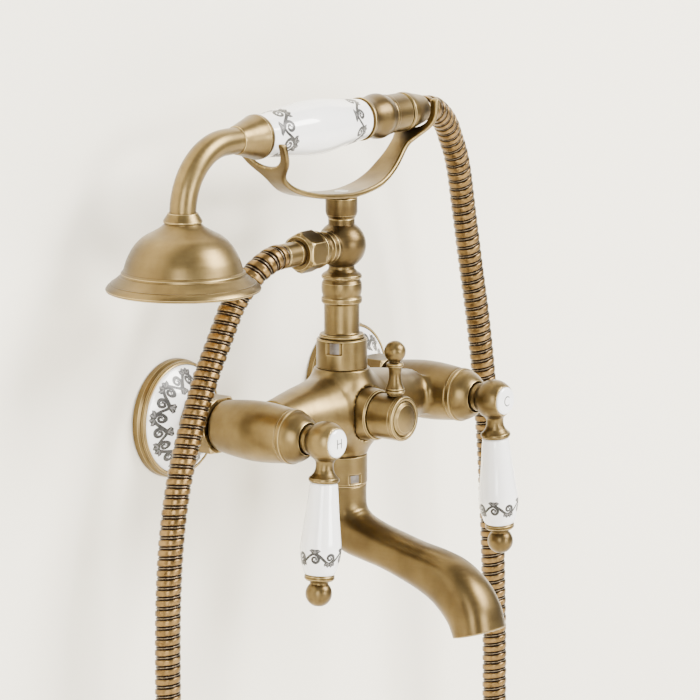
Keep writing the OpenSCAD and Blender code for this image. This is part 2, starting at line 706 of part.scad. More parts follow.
handle_screw(hot);  // hot_handle_screw
handle_screw(cold);  // cold_handle_screw
diverter_base_ring();
diverter_cartridge();
diverter_spindle();
diverter_knob();
diverter_cap();
diverter_lever();
riser_collar();
riser_post();
cradle_post();
cradle();
cradle_screw();
hose_outlet_nipple();
spout();
spout_shank();
spout_nut();
spout_o_rings();
aerator();
shower_bell();
shower_faceplate();
shower_gasket();
shower_neck();
grip_front_ferrule();
grip_porcelain();
grip_end_collar();
grip_inner_tube();
hose();
hose_hex_nut();
hose_sleeve_lower();
hose_washer_lower();
hose_cone_nut();
hose_sleeve_upper();
hose_washer_upper();
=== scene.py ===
import json
import math

import bmesh
import bpy
import numpy as np
from mathutils import Matrix, Vector

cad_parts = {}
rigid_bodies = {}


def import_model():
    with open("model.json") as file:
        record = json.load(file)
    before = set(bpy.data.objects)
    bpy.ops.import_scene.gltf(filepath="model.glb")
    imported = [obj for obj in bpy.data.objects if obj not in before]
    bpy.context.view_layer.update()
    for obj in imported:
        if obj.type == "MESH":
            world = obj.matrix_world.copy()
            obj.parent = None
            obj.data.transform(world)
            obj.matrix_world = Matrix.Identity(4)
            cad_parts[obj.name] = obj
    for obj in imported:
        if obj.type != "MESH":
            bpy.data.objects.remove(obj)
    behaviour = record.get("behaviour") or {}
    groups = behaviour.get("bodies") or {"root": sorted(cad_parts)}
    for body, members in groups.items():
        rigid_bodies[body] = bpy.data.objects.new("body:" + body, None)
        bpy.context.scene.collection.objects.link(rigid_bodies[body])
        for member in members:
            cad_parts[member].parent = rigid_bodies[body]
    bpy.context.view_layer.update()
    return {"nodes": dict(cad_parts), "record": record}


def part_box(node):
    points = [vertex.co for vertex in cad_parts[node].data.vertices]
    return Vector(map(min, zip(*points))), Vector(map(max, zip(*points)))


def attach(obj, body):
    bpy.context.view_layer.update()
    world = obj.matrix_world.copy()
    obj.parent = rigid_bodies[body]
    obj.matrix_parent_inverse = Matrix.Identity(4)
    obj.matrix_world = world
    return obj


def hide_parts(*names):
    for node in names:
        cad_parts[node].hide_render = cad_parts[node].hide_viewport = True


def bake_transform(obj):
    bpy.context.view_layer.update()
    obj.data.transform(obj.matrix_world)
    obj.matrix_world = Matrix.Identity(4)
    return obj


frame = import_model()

# Wall mounted bath mixer with porcelain levers and a hand shower.
# Outlines and sizes are in millimetres and MM turns them into Blender's metres.

MM = 0.001

# ---- places, from the frame

JOINTS = {joint["name"]: joint for joint in frame["record"]["behaviour"]["joints"]}


def middle(node):
    """Middle of a CAD node's box, in millimetres."""
    low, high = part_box(node)
    return (np.array(low) + np.array(high)) / 2 / MM


HUBS = {side: np.array(JOINTS[side + "_handle_turn"]["pos_m"]) / MM for side in ("hot", "cold")}
COLUMN = np.array(JOINTS["spout_swivel"]["pos_m"]) / MM * [1, 1, 0]
TEE = middle("hose_hex_nut") * [0, 1, 1]
GRIP = middle("grip_inner_tube") * [0, 1, 1]
BELL = np.append(middle("shower_bell")[:2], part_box("shower_bell")[0][2] / MM)
OUT = np.array([0.0, -1.0, 0.0])
UP = np.array([0.0, 0.0, 1.0])
RIGHT = np.array([1.0, 0.0, 0.0])
LEVER_SPLAY = math.radians(4.5)


class Place:
    """A local frame: local Z runs along an axis and the origin is a point in millimetres."""

    def __init__(self, origin, along):
        z = np.array(along, float) / np.linalg.norm(along)
        x = RIGHT if abs(z[0]) < 0.9 else UP
        x = x - z * (x @ z)
        x /= np.linalg.norm(x)
        self.origin = np.array(origin, float)
        self.turn = np.column_stack([x, np.cross(z, x), z])

    def world(self, points):
        return (self.origin + np.asarray(points, float) @ self.turn.T) * MM


def inlet(side):
    return Place(HUBS[side] * [1, 0, 1], OUT)


def lever(side):
    lean = math.copysign(LEVER_SPLAY, HUBS[side][0])
    return Place(HUBS[side], (math.sin(lean), 0, -math.cos(lean)))


DIVERTER = Place((0, 0, 0), OUT)
COLUMN_AXIS = Place(COLUMN, UP)
OUTLET = Place(TEE, -RIGHT)
GRIP_AXIS = Place(GRIP, RIGHT)
BELL_AXIS = Place(BELL, UP)

# ---- camera, stage and light

CAMERA_AZIMUTH = math.radians(-51.31)
CAMERA_HEIGHT = math.radians(10.57)
CAMERA_ROLL = math.radians(-0.14)
CAMERA_DISTANCE = 2.664
CAMERA_TARGET = np.array([0.00722, -0.060, 0.03246])
CAMERA_LENS = 246.9


def add_camera():
    back = np.array([math.sin(CAMERA_AZIMUTH) * math.cos(CAMERA_HEIGHT),
        -math.cos(CAMERA_AZIMUTH) * math.cos(CAMERA_HEIGHT), math.sin(CAMERA_HEIGHT)])
    level = np.array([math.cos(CAMERA_AZIMUTH), math.sin(CAMERA_AZIMUTH), 0])
    upright = np.cross(back, level)
    right = math.cos(CAMERA_ROLL) * level + math.sin(CAMERA_ROLL) * upright
    data = bpy.data.cameras.new("camera")
    data.lens = CAMERA_LENS
    data.sensor_width = 36
    data.clip_end = 50
    camera = bpy.data.objects.new("camera", data)
    turn = np.column_stack([right, np.cross(back, right), back])
    camera.matrix_world = (Matrix.Translation(CAMERA_TARGET + back * CAMERA_DISTANCE)
        @ Matrix(turn.tolist()).to_4x4())
    bpy.context.collection.objects.link(camera)
    bpy.context.scene.camera = camera


def stage_plane(name, size, location, turn, material, holes=(), hole_r=0.0):
    """A flat square of the stage. holes are the middles of round openings in it."""
    half = size / 2
    loops = [[(-half, -half), (half, -half), (half, half), (-half, half)]]
    for x, y in holes:
        loops.append([(x + hole_r * math.cos(a), y + hole_r * math.sin(a))
            for a in np.linspace(0, 2 * math.pi, 49)[:-1]])
    sheet = bmesh.new()
    for loop in loops:
        corners = [sheet.verts.new((x, y, 0)) for x, y in loop]
        for a, b in zip(corners, corners[1:] + corners[:1]):
            sheet.edges.new((a, b))
    bmesh.ops.triangle_fill(sheet, edges=sheet.edges[:], use_beauty=True, normal=(0, 0, 1))
    mesh = bpy.data.meshes.new(name)
    sheet.to_mesh(mesh)
    sheet.free()
    plane = bpy.data.objects.new(name, mesh)
    plane.location = location
    plane.rotation_euler = turn
    mesh.materials.append(material)
    bpy.context.collection.objects.link(plane)


def area_light(name, location, size, power, colour):
    """A soft lamp that points at the middle of the inlets, which is the world's origin."""
    data = bpy.data.lights.new(name, "AREA")
    data.shape = "RECTANGLE"
    data.size, data.size_y = size
    data.energy = power
    data.color = colour
    lamp = bpy.data.objects.new(name, data)
    lamp.location = location
    lamp.rotation_euler = Vector(location).to_track_quat("Z", "Y").to_euler()
    bpy.context.collection.objects.link(lamp)


# ---- materials

class Shader:
    """A material with a Principled shader and short calls to add nodes to it."""

    def __init__(self, name):
        self.material = bpy.data.materials.new(name)
        self.material.use_nodes = True
        self.tree = self.material.node_tree
        self.bsdf = self.tree.nodes["Principled BSDF"]

    def node(self, kind, **settings):
        made = self.tree.nodes.new("ShaderNode" + kind)
        for key, value in settings.items():
            setattr(made, key, value)
        return made

    def link(self, out, socket):
        self.tree.links.new(out, socket)

    def set(self, **values):
        for key, value in values.items():
            self.bsdf.inputs[key.replace("_", " ")].default_value = value

    def noise(self, vector, scale, detail=3.0, rough=0.55):
        made = self.node("TexNoise")
        made.inputs["Scale"].default_value = scale
        made.inputs["Detail"].default_value = detail
        made.inputs["Roughness"].default_value = rough
        self.link(vector, made.inputs["Vector"])
        return made.outputs["Fac"]

    def spread(self, value, low, high, to_low, to_high):
        made = self.node("MapRange")
        self.link(value, made.inputs["Value"])
        for key, number in (("From Min", low), ("From Max", high),
                            ("To Min", to_low), ("To Max", to_high)):
            made.inputs[key].default_value = number
        return made.outputs["Result"]

    def math(self, operation, a, b):
        made = self.node("Math", operation=operation)
        for value, socket in ((a, made.inputs[0]), (b, made.inputs[1])):
            if isinstance(value, (int, float)):
                socket.default_value = value
            else:
                self.link(value, socket)
        return made.outputs[0]

    def mix(self, factor, a, b):
        made = self.node("Mix", data_type="RGBA")
        self.link(factor, made.inputs[0])
        for value, socket in ((a, made.inputs[6]), (b, made.inputs[7])):
            if isinstance(value, tuple):
                socket.default_value = (*value, 1)
            else:
                self.link(value, socket)
        return made.outputs[2]

    def objects(self):
        return self.node("TexCoord").outputs["Object"]

    def stored(self, name, output="Fac"):
        """A value that the mesh carries at each vertex."""
        return self.node("Attribute", attribute_name=name).outputs[output]

    def stretched(self, vector, scale):
        made = self.node("Mapping")
        made.inputs["Scale"].default_value = scale
        self.link(vector, made.inputs["Vector"])
        return made.outputs["Vector"]

    def bump(self, height, strength, distance):
        made = self.node("Bump")
        made.inputs["Strength"].default_value = strength
        made.inputs["Distance"].default_value = distance
        self.link(height, made.inputs["Height"])
        self.link(made.outputs["Normal"], self.bsdf.inputs["Normal"])


def brushed_metal(name, dark, mid, bright, rough):
    """Aged metal: brushed round its axis, darker in the hollows and rubbed bright on the edges. The
    hollows and the gaps between parts are darkened with painted shade from an ambient occlusion
    node, and the bright edges are partly a painted highlight.
    """
    s = Shader(name)
    s.set(Metallic=1.0)
    cloud = s.noise(s.objects(), 55, 4)
    grain = s.stored("grain", "Vector")
    streak = s.noise(s.stretched(grain, (40, 40, 1500)), 1.0, 3, 0.6)
    wear_and_sheen = s.stored("wear_and_sheen")
    # Painted shade: ambient occlusion darkens the colour in hollows and in the gaps between parts,
    # and roughens it there.
    shade = s.node("AmbientOcclusion", samples=6)
    shade.inputs["Distance"].default_value = 0.006
    hollow = s.spread(shade.outputs["AO"], 0.15, 0.8, 1, 0)
    tone = s.math("ADD", s.spread(cloud, 0.3, 0.7, 0.25, 0.85),
        s.spread(streak, 0.25, 0.75, -0.06, 0.06))
    low = tuple(0.45 * d + 0.55 * m for d, m in zip(dark, mid))
    high = tuple(0.8 * m + 0.2 * b for m, b in zip(mid, bright))
    colour = s.mix(s.spread(tone, 0, 1, 0, 1), low, high)
    patina = s.noise(s.objects(), 19, 2)
    colour = s.mix(s.spread(patina, 0.42, 0.66, 0, 0.7), colour, dark)
    # Painted highlight: convex edges go bright, partly rubbed wear and partly a painted highlight.
    colour = s.mix(s.spread(wear_and_sheen, 0.05, 0.9, 0, 0.9), colour, bright)
    # Painted shade from the occlusion darkens the colour, and concave curves go darker too.
    colour = s.mix(s.math("MAXIMUM", s.math("MULTIPLY", hollow, 0.85),
        s.spread(wear_and_sheen, -0.9, -0.1, 0.8, 0)), colour, dark)
    s.link(colour, s.bsdf.inputs["Base Color"])
    s.link(s.math("ADD", s.spread(streak, 0.2, 0.8, rough - 0.06, rough + 0.08),
        s.math("MULTIPLY", hollow, 0.15)), s.bsdf.inputs["Roughness"])
    s.bump(streak, 0.05, 0.00004)
    return s.material


def porcelain_glaze(name):
    s = Shader(name)
    s.set(Roughness=0.12, IOR=1.5, Coat_Weight=1.0, Coat_Roughness=0.04)
    cloud = s.noise(s.objects(), 90, 3)
    s.link(s.mix(s.spread(cloud, 0.3, 0.7, 0, 1), (0.9, 0.9, 0.9), (0.94, 0.94, 0.935)),
        s.bsdf.inputs["Base Color"])
    s.bump(cloud, 0.05, 0.0002)
    return s.material


def painted_line(name, dark, light):
    s = Shader(name)
    s.set(Roughness=0.45, Coat_Weight=0.2, Coat_Roughness=0.1)
    s.link(s.mix(s.spread(s.noise(s.objects(), 700, 2), 0.35, 0.7, 0, 1), dark, light),
        s.bsdf.inputs["Base Color"])
    return s.material


def plain_rough(name, dark, light, rough, metallic=0.0):
    s = Shader(name)
    s.set(Metallic=metallic)
    cloud = s.noise(s.objects(), 300, 3)
    s.link(s.mix(s.spread(cloud, 0.3, 0.7, 0, 1), dark, light), s.bsdf.inputs["Base Color"])
    s.link(s.spread(cloud, 0.2, 0.8, rough - 0.05, rough + 0.08), s.bsdf.inputs["Roughness"])
    s.bump(cloud, 0.1, 0.0001)
    return s.material


def hose_metal(name):
    """Ringed hose: wide coppery bands, and a thin pale ring between two grooves. The grooves and
    the rounded edges of the bands are painted nearly black, as painted shade in the recesses.
    """
    s = Shader(name)
    s.set(Metallic=1.0)
    band = s.stored("band")
    thread_top = s.stored("thread")
    cloud = s.noise(s.objects(), 160, 3)
    raised = s.mix(s.spread(cloud, 0.3, 0.7, 0, 1), (0.12, 0.072, 0.026), (0.25, 0.158, 0.06))
    # Painted shade: the grooves are nearly black and only the top of the thin ring is pale.
    sunk = s.mix(s.spread(thread_top, 0.6, 1.0, 0, 1), (0.012, 0.007, 0.004), (0.2, 0.16, 0.11))
    # Painted shade: the bands go dark at their rounded edges, down into the grooves.
    colour = s.mix(s.spread(band, 0.4, 1.0, 0, 1), sunk, raised)
    s.link(colour, s.bsdf.inputs["Base Color"])
    s.link(s.spread(cloud, 0.2, 0.8, 0.24, 0.36), s.bsdf.inputs["Roughness"])
    return s.material


def stage_material(name, colour, one_sided):
    s = Shader(name)
    cloud = s.noise(s.objects(), 1.2, 2)
    s.set(Roughness=0.9)
    s.link(s.mix(s.spread(cloud, 0.3, 0.7, 0, 1), tuple(0.97 * c for c in colour), colour),
        s.bsdf.inputs["Base Color"])
    if one_sided:
        clear = s.node("BsdfTransparent")
        choose = s.node("MixShader")
        s.link(s.node("NewGeometry").outputs["Backfacing"], choose.inputs[0])
        s.link(s.bsdf.outputs[0], choose.inputs[1])
        s.link(clear.outputs[0], choose.inputs[2])
        s.link(choose.outputs[0], s.tree.nodes["Material Output"].inputs["Surface"])
    return s.material


BRASS_DARK = (0.036, 0.021, 0.009)
BRASS_MID = (0.158, 0.108, 0.040)
BRASS_BRIGHT = (0.60, 0.45, 0.205)
BRASS = brushed_metal("antique_brass", BRASS_DARK, BRASS_MID, BRASS_BRIGHT, 0.34)
PLAIN_BRASS = brushed_metal("plain_brass", (0.25, 0.16, 0.06), (0.6, 0.43, 0.2), (0.9, 0.7, 0.38),
    0.28)
PORCELAIN = porcelain_glaze("white_porcelain")
SCROLL = painted_line("scroll_paint", (0.006, 0.006, 0.006), (0.03, 0.028, 0.026))
LEAF = painted_line("leaf_paint", (0.06, 0.057, 0.055), (0.16, 0.152, 0.145))
RUBBER = plain_rough("black_rubber", (0.015, 0.015, 0.016), (0.03, 0.03, 0.03), 0.7)
# A dark grey metal patch for the window recesses, painted shade.
RECESS_SHADE = plain_rough("window_recess_shade", (0.1, 0.088, 0.08), (0.2, 0.18, 0.165), 0.4, 1.0)
STEEL = plain_rough("steel", (0.5, 0.5, 0.51), (0.62, 0.62, 0.63), 0.3, 1.0)
HOSE = hose_metal("hose_metal")

# ---- mesh helpers


FULL_WEAR_AND_SHEEN = 1000       # curvature in 1/m at which an edge is fully rubbed bright, partly a painted highlight
WEAR_AND_SHEEN_START = 0.22      # share of that at which the rubbing and the painted highlight begin


def read(items, key, width, kind=np.float32):
    """One row of numbers for each item of a mesh."""
    values = np.zeros(len(items) * width, kind)
    items.foreach_get(key, values)
    return values.reshape(-1, width)


def curvature(mesh):
    """How convex (+) or hollow (-) the surface is at each vertex, in 1/m."""
    normals = read(mesh.vertices, "normal", 3).astype(float)
    points = read(mesh.vertices, "co", 3).astype(float)
    a, b = read(mesh.edges, "vertices", 2, np.int32).T
    along = points[b] - points[a]
    bend = ((normals[b] - normals[a]) * along).sum(1) / np.maximum((along ** 2).sum(1), 1e-12)
    total = np.bincount(a, bend, len(points)) + np.bincount(b, bend, len(points))
    count = np.bincount(a, minlength=len(points)) + np.bincount(b, minlength=len(points))
    return total / np.maximum(count, 1)


def attribute(mesh, name, values, kind="FLOAT", field="value"):
    made = mesh.attributes.new(name, kind, "POINT")
    made.data.foreach_set(field, np.asarray(values, np.float32).ravel())


def outward(mesh):
    """Turns the faces of a closed mesh outwards."""
    b = bmesh.new()
    b.from_mesh(mesh)
    bmesh.ops.recalc_face_normals(b, faces=b.faces)
    if b.calc_volume(signed=True) < 0:
        bmesh.ops.reverse_faces(b, faces=b.faces)
    b.to_mesh(mesh)
    b.free()
    mesh.update()


def piece(name, points, faces, material, body, slot, replaces=(), grain=None, extra=None,
          closed=True):
    """A smooth mesh that rides on a body, or on none. points are world metres."""
    mesh = bpy.data.meshes.new(name)
    mesh.from_pydata(np.asarray(points, float).tolist(), [], faces)
    mesh.validate()
    mesh.materials.append(material)
    mesh.polygons.foreach_set("use_smooth", [True] * len(mesh.polygons))
    mesh.update()
    if closed:
        outward(mesh)
    # The stored curvature brightens convex edges, partly rubbed wear and partly a painted
    # highlight, and darkens hollows.
    bend = np.clip(curvature(mesh) / FULL_WEAR_AND_SHEEN, -1, 1)
    attribute(mesh, "wear_and_sheen", np.sign(bend) * np.clip(np.abs(bend) - WEAR_AND_SHEEN_START, 0, 1))
    if grain is not None:
        attribute(mesh, "grain", np.asarray(grain, float) * MM, "FLOAT_VECTOR", "vector")
    for key, values in (extra or {}).items():
        attribute(mesh, key, values)
    made = bpy.data.objects.new(name, mesh)
    bpy.context.collection.objects.link(made)
    if body:
        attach(made, body)
    for node in replaces:
        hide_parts(node)
    return made


def skin_faces(rings, sides, closed_along=False, start=0):
    """Quads between neighbouring rings of points, each ring closed on itself."""
    faces = []
    for i in range(rings if closed_along else rings - 1):
        here, there = start + i * sides, start + (i + 1) % rings * sides
        faces += [(here + k, here + (k + 1) % sides, there + (k + 1) % sides, there + k)
            for k in range(sides)]
    return faces


def tube_faces(rings, sides):
    """The faces of a tube with both ends closed."""
    last = rings * sides
    return skin_faces(rings, sides) + [tuple(range(sides)), tuple(range(last - sides, last))]


def curve(points, steps=6):
    """A smooth line through points, with steps points for each stretch."""
    p = np.asarray(points, float)
    n = len(p)
    out = []
    for i in range(n - 1):
        before, a, b, after = p[max(i - 1, 0)], p[i], p[i + 1], p[min(i + 2, n - 1)]
        for t in np.arange(steps) / steps:
            out.append(0.5 * (2 * a + (b - before) * t + (2 * before - 5 * a + 4 * b - after)
                * t ** 2 + (3 * a - before - 3 * b + after) * t ** 3))
    out.append(p[-1])
    return [tuple(q) for q in out]


def soften(outline, radius, closed):
    """Rounds each sharp corner of an outline and adds a point beside it, to hold the flats."""
    p = [np.array(q, float) for q in outline]
    n = len(p)
    out = []
    for i in range(n):
        here = p[i]
        if not closed and i in (0, n - 1):
            out.append(here)
            continue
        a, b = p[i - 1] - here, p[(i + 1) % n] - here
        la, lb = np.linalg.norm(a), np.linalg.norm(b)
        if la < 1e-6 or lb < 1e-6:
            continue
        turn = math.pi - math.acos(np.clip(a @ b / la / lb, -1, 1))
        if turn < math.radians(14):
            out.append(here)
            continue
        reach = min(radius * math.tan(turn / 2), 0.42 * la, 0.42 * lb)
        if la > 5 * reach:
            out.append(here + a / la * reach * 1.7)
        start, end = here + a / la * reach, here + b / lb * reach
        for t in (0, 0.25, 0.5, 0.75, 1):
            out.append((1 - t) ** 2 * start + 2 * t * (1 - t) * here + t * t * end)
        if lb > 5 * reach:
            out.append(here + b / lb * reach * 1.7)
    return out


def blend_min(a, b, reach):
    """Union of two distance fields with a fillet of about that reach."""
    h = np.clip(reach - np.abs(a - b), 0, None) / reach
    return np.minimum(a, b) - h * h * reach / 4


def blend_max(a, b, reach):
    return -blend_min(-a, -b, reach)


def turned_field(points, place_origin, axis, outline):
    """Rough distance to a turned solid; outline is (radius, height) with rising heights."""
    rel = points - place_origin
    h = rel @ axis
    away = np.sqrt(np.maximum((rel ** 2).sum(-1) - h * h, 1e-9))
    o = np.array(outline, float)
    radius = np.interp(h, o[:, 1], o[:, 0])
    slope = np.interp(h, (o[1:, 1] + o[:-1, 1]) / 2, np.diff(o[:, 0]) / np.diff(o[:, 1]))
    side = (away - radius) / np.sqrt(1 + slope ** 2)
    ends = np.maximum(o[0, 1] - h, h - o[-1, 1])
    return np.maximum(side, ends)


def bored(whole, points, origin, axis, *outline):
    """A field with a turned hole taken out of it."""
    return np.maximum(whole, -turned_field(points, origin, axis, outline))


def carved(node, field, low, high, cell, place):
    """The visual stand-in of a cast CAD node: a mesh over the zero surface of a field of points
    in millimetres (surface nets). The brushing runs round the axis of place."""
    low, high = np.array(low, float), np.array(high, float)
    count = np.ceil((high - low) / cell).astype(int) + 1
    grid = [low[k] + np.arange(count[k]) * cell for k in range(3)]
    value = np.empty(count)
    for i, x in enumerate(grid[0]):
        y, z = np.meshgrid(grid[1], grid[2], indexing="ij")
        value[i] = field(np.stack([np.full_like(y, x), y, z], -1))
    inside = value < 0
    corners = [(dx, dy, dz) for dx in (0, 1) for dy in (0, 1) for dz in (0, 1)]
    cells = tuple(c - 1 for c in count)

    def at(array, offset, shape=cells):
        return array[offset[0]:offset[0] + shape[0], offset[1]:offset[1] + shape[1],
            offset[2]:offset[2] + shape[2]]

    total = sum(at(inside, c).astype(np.int8) for c in corners)
    active = (total > 0) & (total < 8)
    index = -np.ones(cells, int)
    index[active] = np.arange(active.sum())
    sums, hits = np.zeros((active.sum(), 3)), np.zeros(active.sum())
    base = np.argwhere(active)
    for a in corners:
        for k in range(3):
            if a[k]:
                continue
            b = list(a)
            b[k] = 1
            va = value[tuple((base + a).T)]
            vb = value[tuple((base + b).T)]
            cross = (va < 0) != (vb < 0)
            t = np.where(cross, va / np.where(cross, va - vb, 1), 0)
            point = base + np.array(a, float)
            point[:, k] += t
            sums += point * cross[:, None]
            hits += cross
    points = low + sums / hits[:, None] * cell
    faces = []
    for k in range(3):
        step = [0, 0, 0]
        step[k] = 1
        shape = tuple(count[m] - (1 if m == k else 0) for m in range(3))
        first = inside[tuple(slice(0, shape[m]) for m in range(3))]
        second = at(inside, step, shape)
        for flip, mask in ((False, first & ~second), (True, ~first & second)):
            where = np.argwhere(mask)
            u, v = [m for m in range(3) if m != k]
            ok = (where[:, u] > 0) & (where[:, v] > 0) & (where[:, u] < cells[u]) \
                & (where[:, v] < cells[v])
            where = where[ok]
            quad = []
            for du, dv in ((-1, -1), (0, -1), (0, 0), (-1, 0)):
                at_cell = where.copy()
                at_cell[:, u] += du
                at_cell[:, v] += dv
                quad.append(index[tuple(at_cell.T)])
            quad = np.stack(quad, 1)
            faces += (quad[:, ::-1] if flip else quad).tolist()
    for _ in range(3):
        here = field(points)
        slope = np.stack([(field(points + e) - field(points - e)) / 0.1 for e in np.eye(3) * 0.05],
            -1)
        steep = np.maximum((slope ** 2).sum(-1), 0.05)
        move = np.clip(here / steep, -0.5 * cell, 0.5 * cell)
        points = points - slope * move[:, None]
    piece(node + "_fine", points * MM, faces, BRASS, BODY[node], SLOT[node], (node,),
        grain=(points - place.origin) @ place.turn)


def swept(centres, radius):
    """Rings of points round a line. radius is an array for each centre, one value to a side."""
    c = np.asarray(centres, float)
    heading = np.gradient(c, axis=0)
    heading /= np.linalg.norm(heading, axis=1)[:, None]
    sides = len(radius[0])
    angles = np.arange(sides) * 2 * math.pi / sides
    side = np.cross(heading[0], [0.1, 1, 0.3])
    rings = []
    for i in range(len(c)):
        side = side - heading[i] * (side @ heading[i])
        side /= np.linalg.norm(side)
        over = np.cross(heading[i], side)
        rings.append(c[i] + radius[i][:, None] * (np.cos(angles)[:, None] * side
            + np.sin(angles)[:, None] * over))
    return np.array(rings)


# ---- what each CAD node is

BODY = {node: body for body, nodes in frame["record"]["behaviour"]["bodies"].items()
    for node in nodes}
SLOT = {part["node"]: part["material_slot"] for part in frame["record"]["subparts"]}
FINISH = {"antique_brass": BRASS, "plain_brass": PLAIN_BRASS, "nozzle_brass": PLAIN_BRASS,
    "hose_metal": HOSE, "flange_porcelain": PORCELAIN, "lever_porcelain": PORCELAIN,
    "grip_porcelain": PORCELAIN, "button_porcelain": PORCELAIN, "steel": STEEL,
    "black_rubber": RUBBER}


EDGE_RADIUS = 0.35


def turned(node, outline, place, bore=None, inside=None, suffix="fine", sides=96, limit=None,
           dent=None):
    """The visual stand-in of a turned CAD node, from (radius, height) points. bore is one radius
    right through, inside a list of points back along the hole, and neither makes a solid piece.
    limit(angle) caps the radius, as a hexagon does, and dent(angle, height) pushes it in."""
    if inside:
        section = list(outline) + list(inside)
    elif bore:
        section = list(outline) + [(bore, outline[-1][1]), (bore, outline[0][1])]
    else:
        section = [(0, outline[0][1])] + list(outline) + [(0, outline[-1][1])]
    closed = section[0][0] > 0 or section[-1][0] > 0
    section = np.array(soften(section, EDGE_RADIUS, closed))
    angles = np.arange(sides) * 2 * math.pi / sides
    r = np.repeat(section[:, :1], sides, 1)
    h = np.repeat(section[:, 1:], sides, 1)
    if limit:
        cap = limit(angles)[None, :]
        r = 0.5 * (r + cap - np.sqrt((r - cap) ** 2 + 0.03)) + 0.02
        r = np.maximum(r, 0.01)
    if dent:
        r = r - dent(angles[None, :], h)
    local = np.stack([r * np.cos(angles), r * np.sin(angles), h], -1).reshape(-1, 3)
    n = len(section)
    if closed:
        faces = skin_faces(n, sides, True)
    else:
        faces = skin_faces(n, sides)[sides:-sides or None]
        local = np.vstack([[0, 0, section[0][1]], local[sides:-sides], [0, 0, section[-1][1]]])
        last = len(local) - 1
        faces = [tuple(v - sides + 1 for v in f) for f in faces]
        top = last - sides
        faces += [(0, 1 + (k + 1) % sides, 1 + k) for k in range(sides)]
        faces += [(last, top + k, top + (k + 1) % sides) for k in range(sides)]
    material = BRASS if "sleeve" in node else FINISH[SLOT[node]]
    return piece(f"{node}_{suffix}", place.world(local), faces, material, BODY[node], SLOT[node],
        (node,), grain=local)


def hexagon(across):
    return lambda angle: across / 2 / np.cos(np.mod(angle, math.pi / 3) - math.pi / 6)


def window(angle, wide, height, tall, depth, r):
    """A shallow rectangular recess in a wall of radius r."""
    def step(distance):
        return np.clip(0.5 - distance / 0.5, 0, 1)

    def dent(angles, heights):
        away = np.abs(np.mod(angles - angle + math.pi, 2 * math.pi) - math.pi) * r - wide / 2
        return depth * step(away) * step(np.abs(heights - height) - tall / 2)
    return dent


def levels(r, start, end, step=0.5):
    return [(r, float(h)) for h in np.arange(start, end, step)]


def ball(centre, r, from_r, to_r, steps=18):
    """Points of a ball from the radius it leaves a neck at to the radius of the next one."""
    a, b = math.acos(-math.sqrt(1 - (from_r / r) ** 2)), math.acos(math.sqrt(1 - (to_r / r) ** 2))
    return [(r * math.sin(t), centre + r * math.cos(t)) for t in np.linspace(a, b, steps)]


# ---- inlets and flanges

def thread(pitch, depth, start, end):
    def dent(angles, heights):
        wave = 0.5 + 0.5 * np.cos(2 * math.pi * heights / pitch - angles)
        return depth * wave * np.clip(heights - start, 0, 1) * np.clip(end - heights, 0, 1)
    return dent


NUT_CORNER = 14.9 / math.cos(math.pi / 6)
FLANGE_DOME = curve([(29.4, 7.9), (27.5, 8.8), (24, 10.8), (20, 13.8), (17, 16.6), (15.6, 18.1)], 4)
for side, name in (("hot", "left"), ("cold", "right")):
    at = inlet(side)
    turned(f"union_{name}", [(9.7, -20), (10.4, -19.4)] + levels(10.4, -19.2, -0.6, 0.3)
        + [(10.4, 0), (12.4, 0), (12.4, 4), (13.2, 4.4), (13.2, 25.2), (12.4, 26)], at, 7,
        dent=thread(1.81, 0.7, -19, -0.8))
    turned(f"flange_rim_{name}", [(13.5, 3.8), (28.8, 3.8), (31, 0), (33, 0), (33, 1.9),
        (32.7, 3.3), (31.9, 4.3), (31.6, 4.8), (32, 5.6), (31.9, 6.8), (31.4, 7.6), (30.8, 8),
        (30.3, 7.7), (30.2, 5.6), (13.5, 5.6)], at, inside=[(13.5, 4.7)], sides=160)
    turned(f"flange_porcelain_{name}", [(14, 5.7), (30, 5.7), (30, 7.3)] + FLANGE_DOME
        + [(15, 18.5), (14.4, 18.5), (14, 18)], at, inside=[(14, 12)], sides=160)
    turned(f"union_nut_{name}", [(NUT_CORNER - 1.6, 19), (NUT_CORNER, 20.2), (NUT_CORNER, 35.4),
        (NUT_CORNER - 1.6, 36.6)], at, inside=[(10.8, 36.6), (10.8, 31), (13.3, 31), (13.3, 19)],
        limit=hexagon(29.8), sides=192)

# ---- mixer body

BULB = [(12.9, 37), (13.8, 37.8), (14.5, 40), (15.1, 44), (15.9, 51), (16.4, 57), (16.6, 62),
    (16.4, 69), (15.8, 76), (15.1, 82), (14.7, 85)]
ARM = [(14, -60), (15.2, -52), (16.6, -45), (18.2, -36), (19.5, -27), (20.9, -19), (21.5, -10),
    (22, 0)]
ARM = ARM + [(r, -h) for r, h in ARM[-2::-1]]
MIDDLE = [(13.9, -24.5), (14.9, -21.5), (16.6, -17.5), (19.2, -10), (20.8, -3), (21.2, 2),
    (20.6, 8), (18.9, 14), (17, 19), (15.4, 24)]


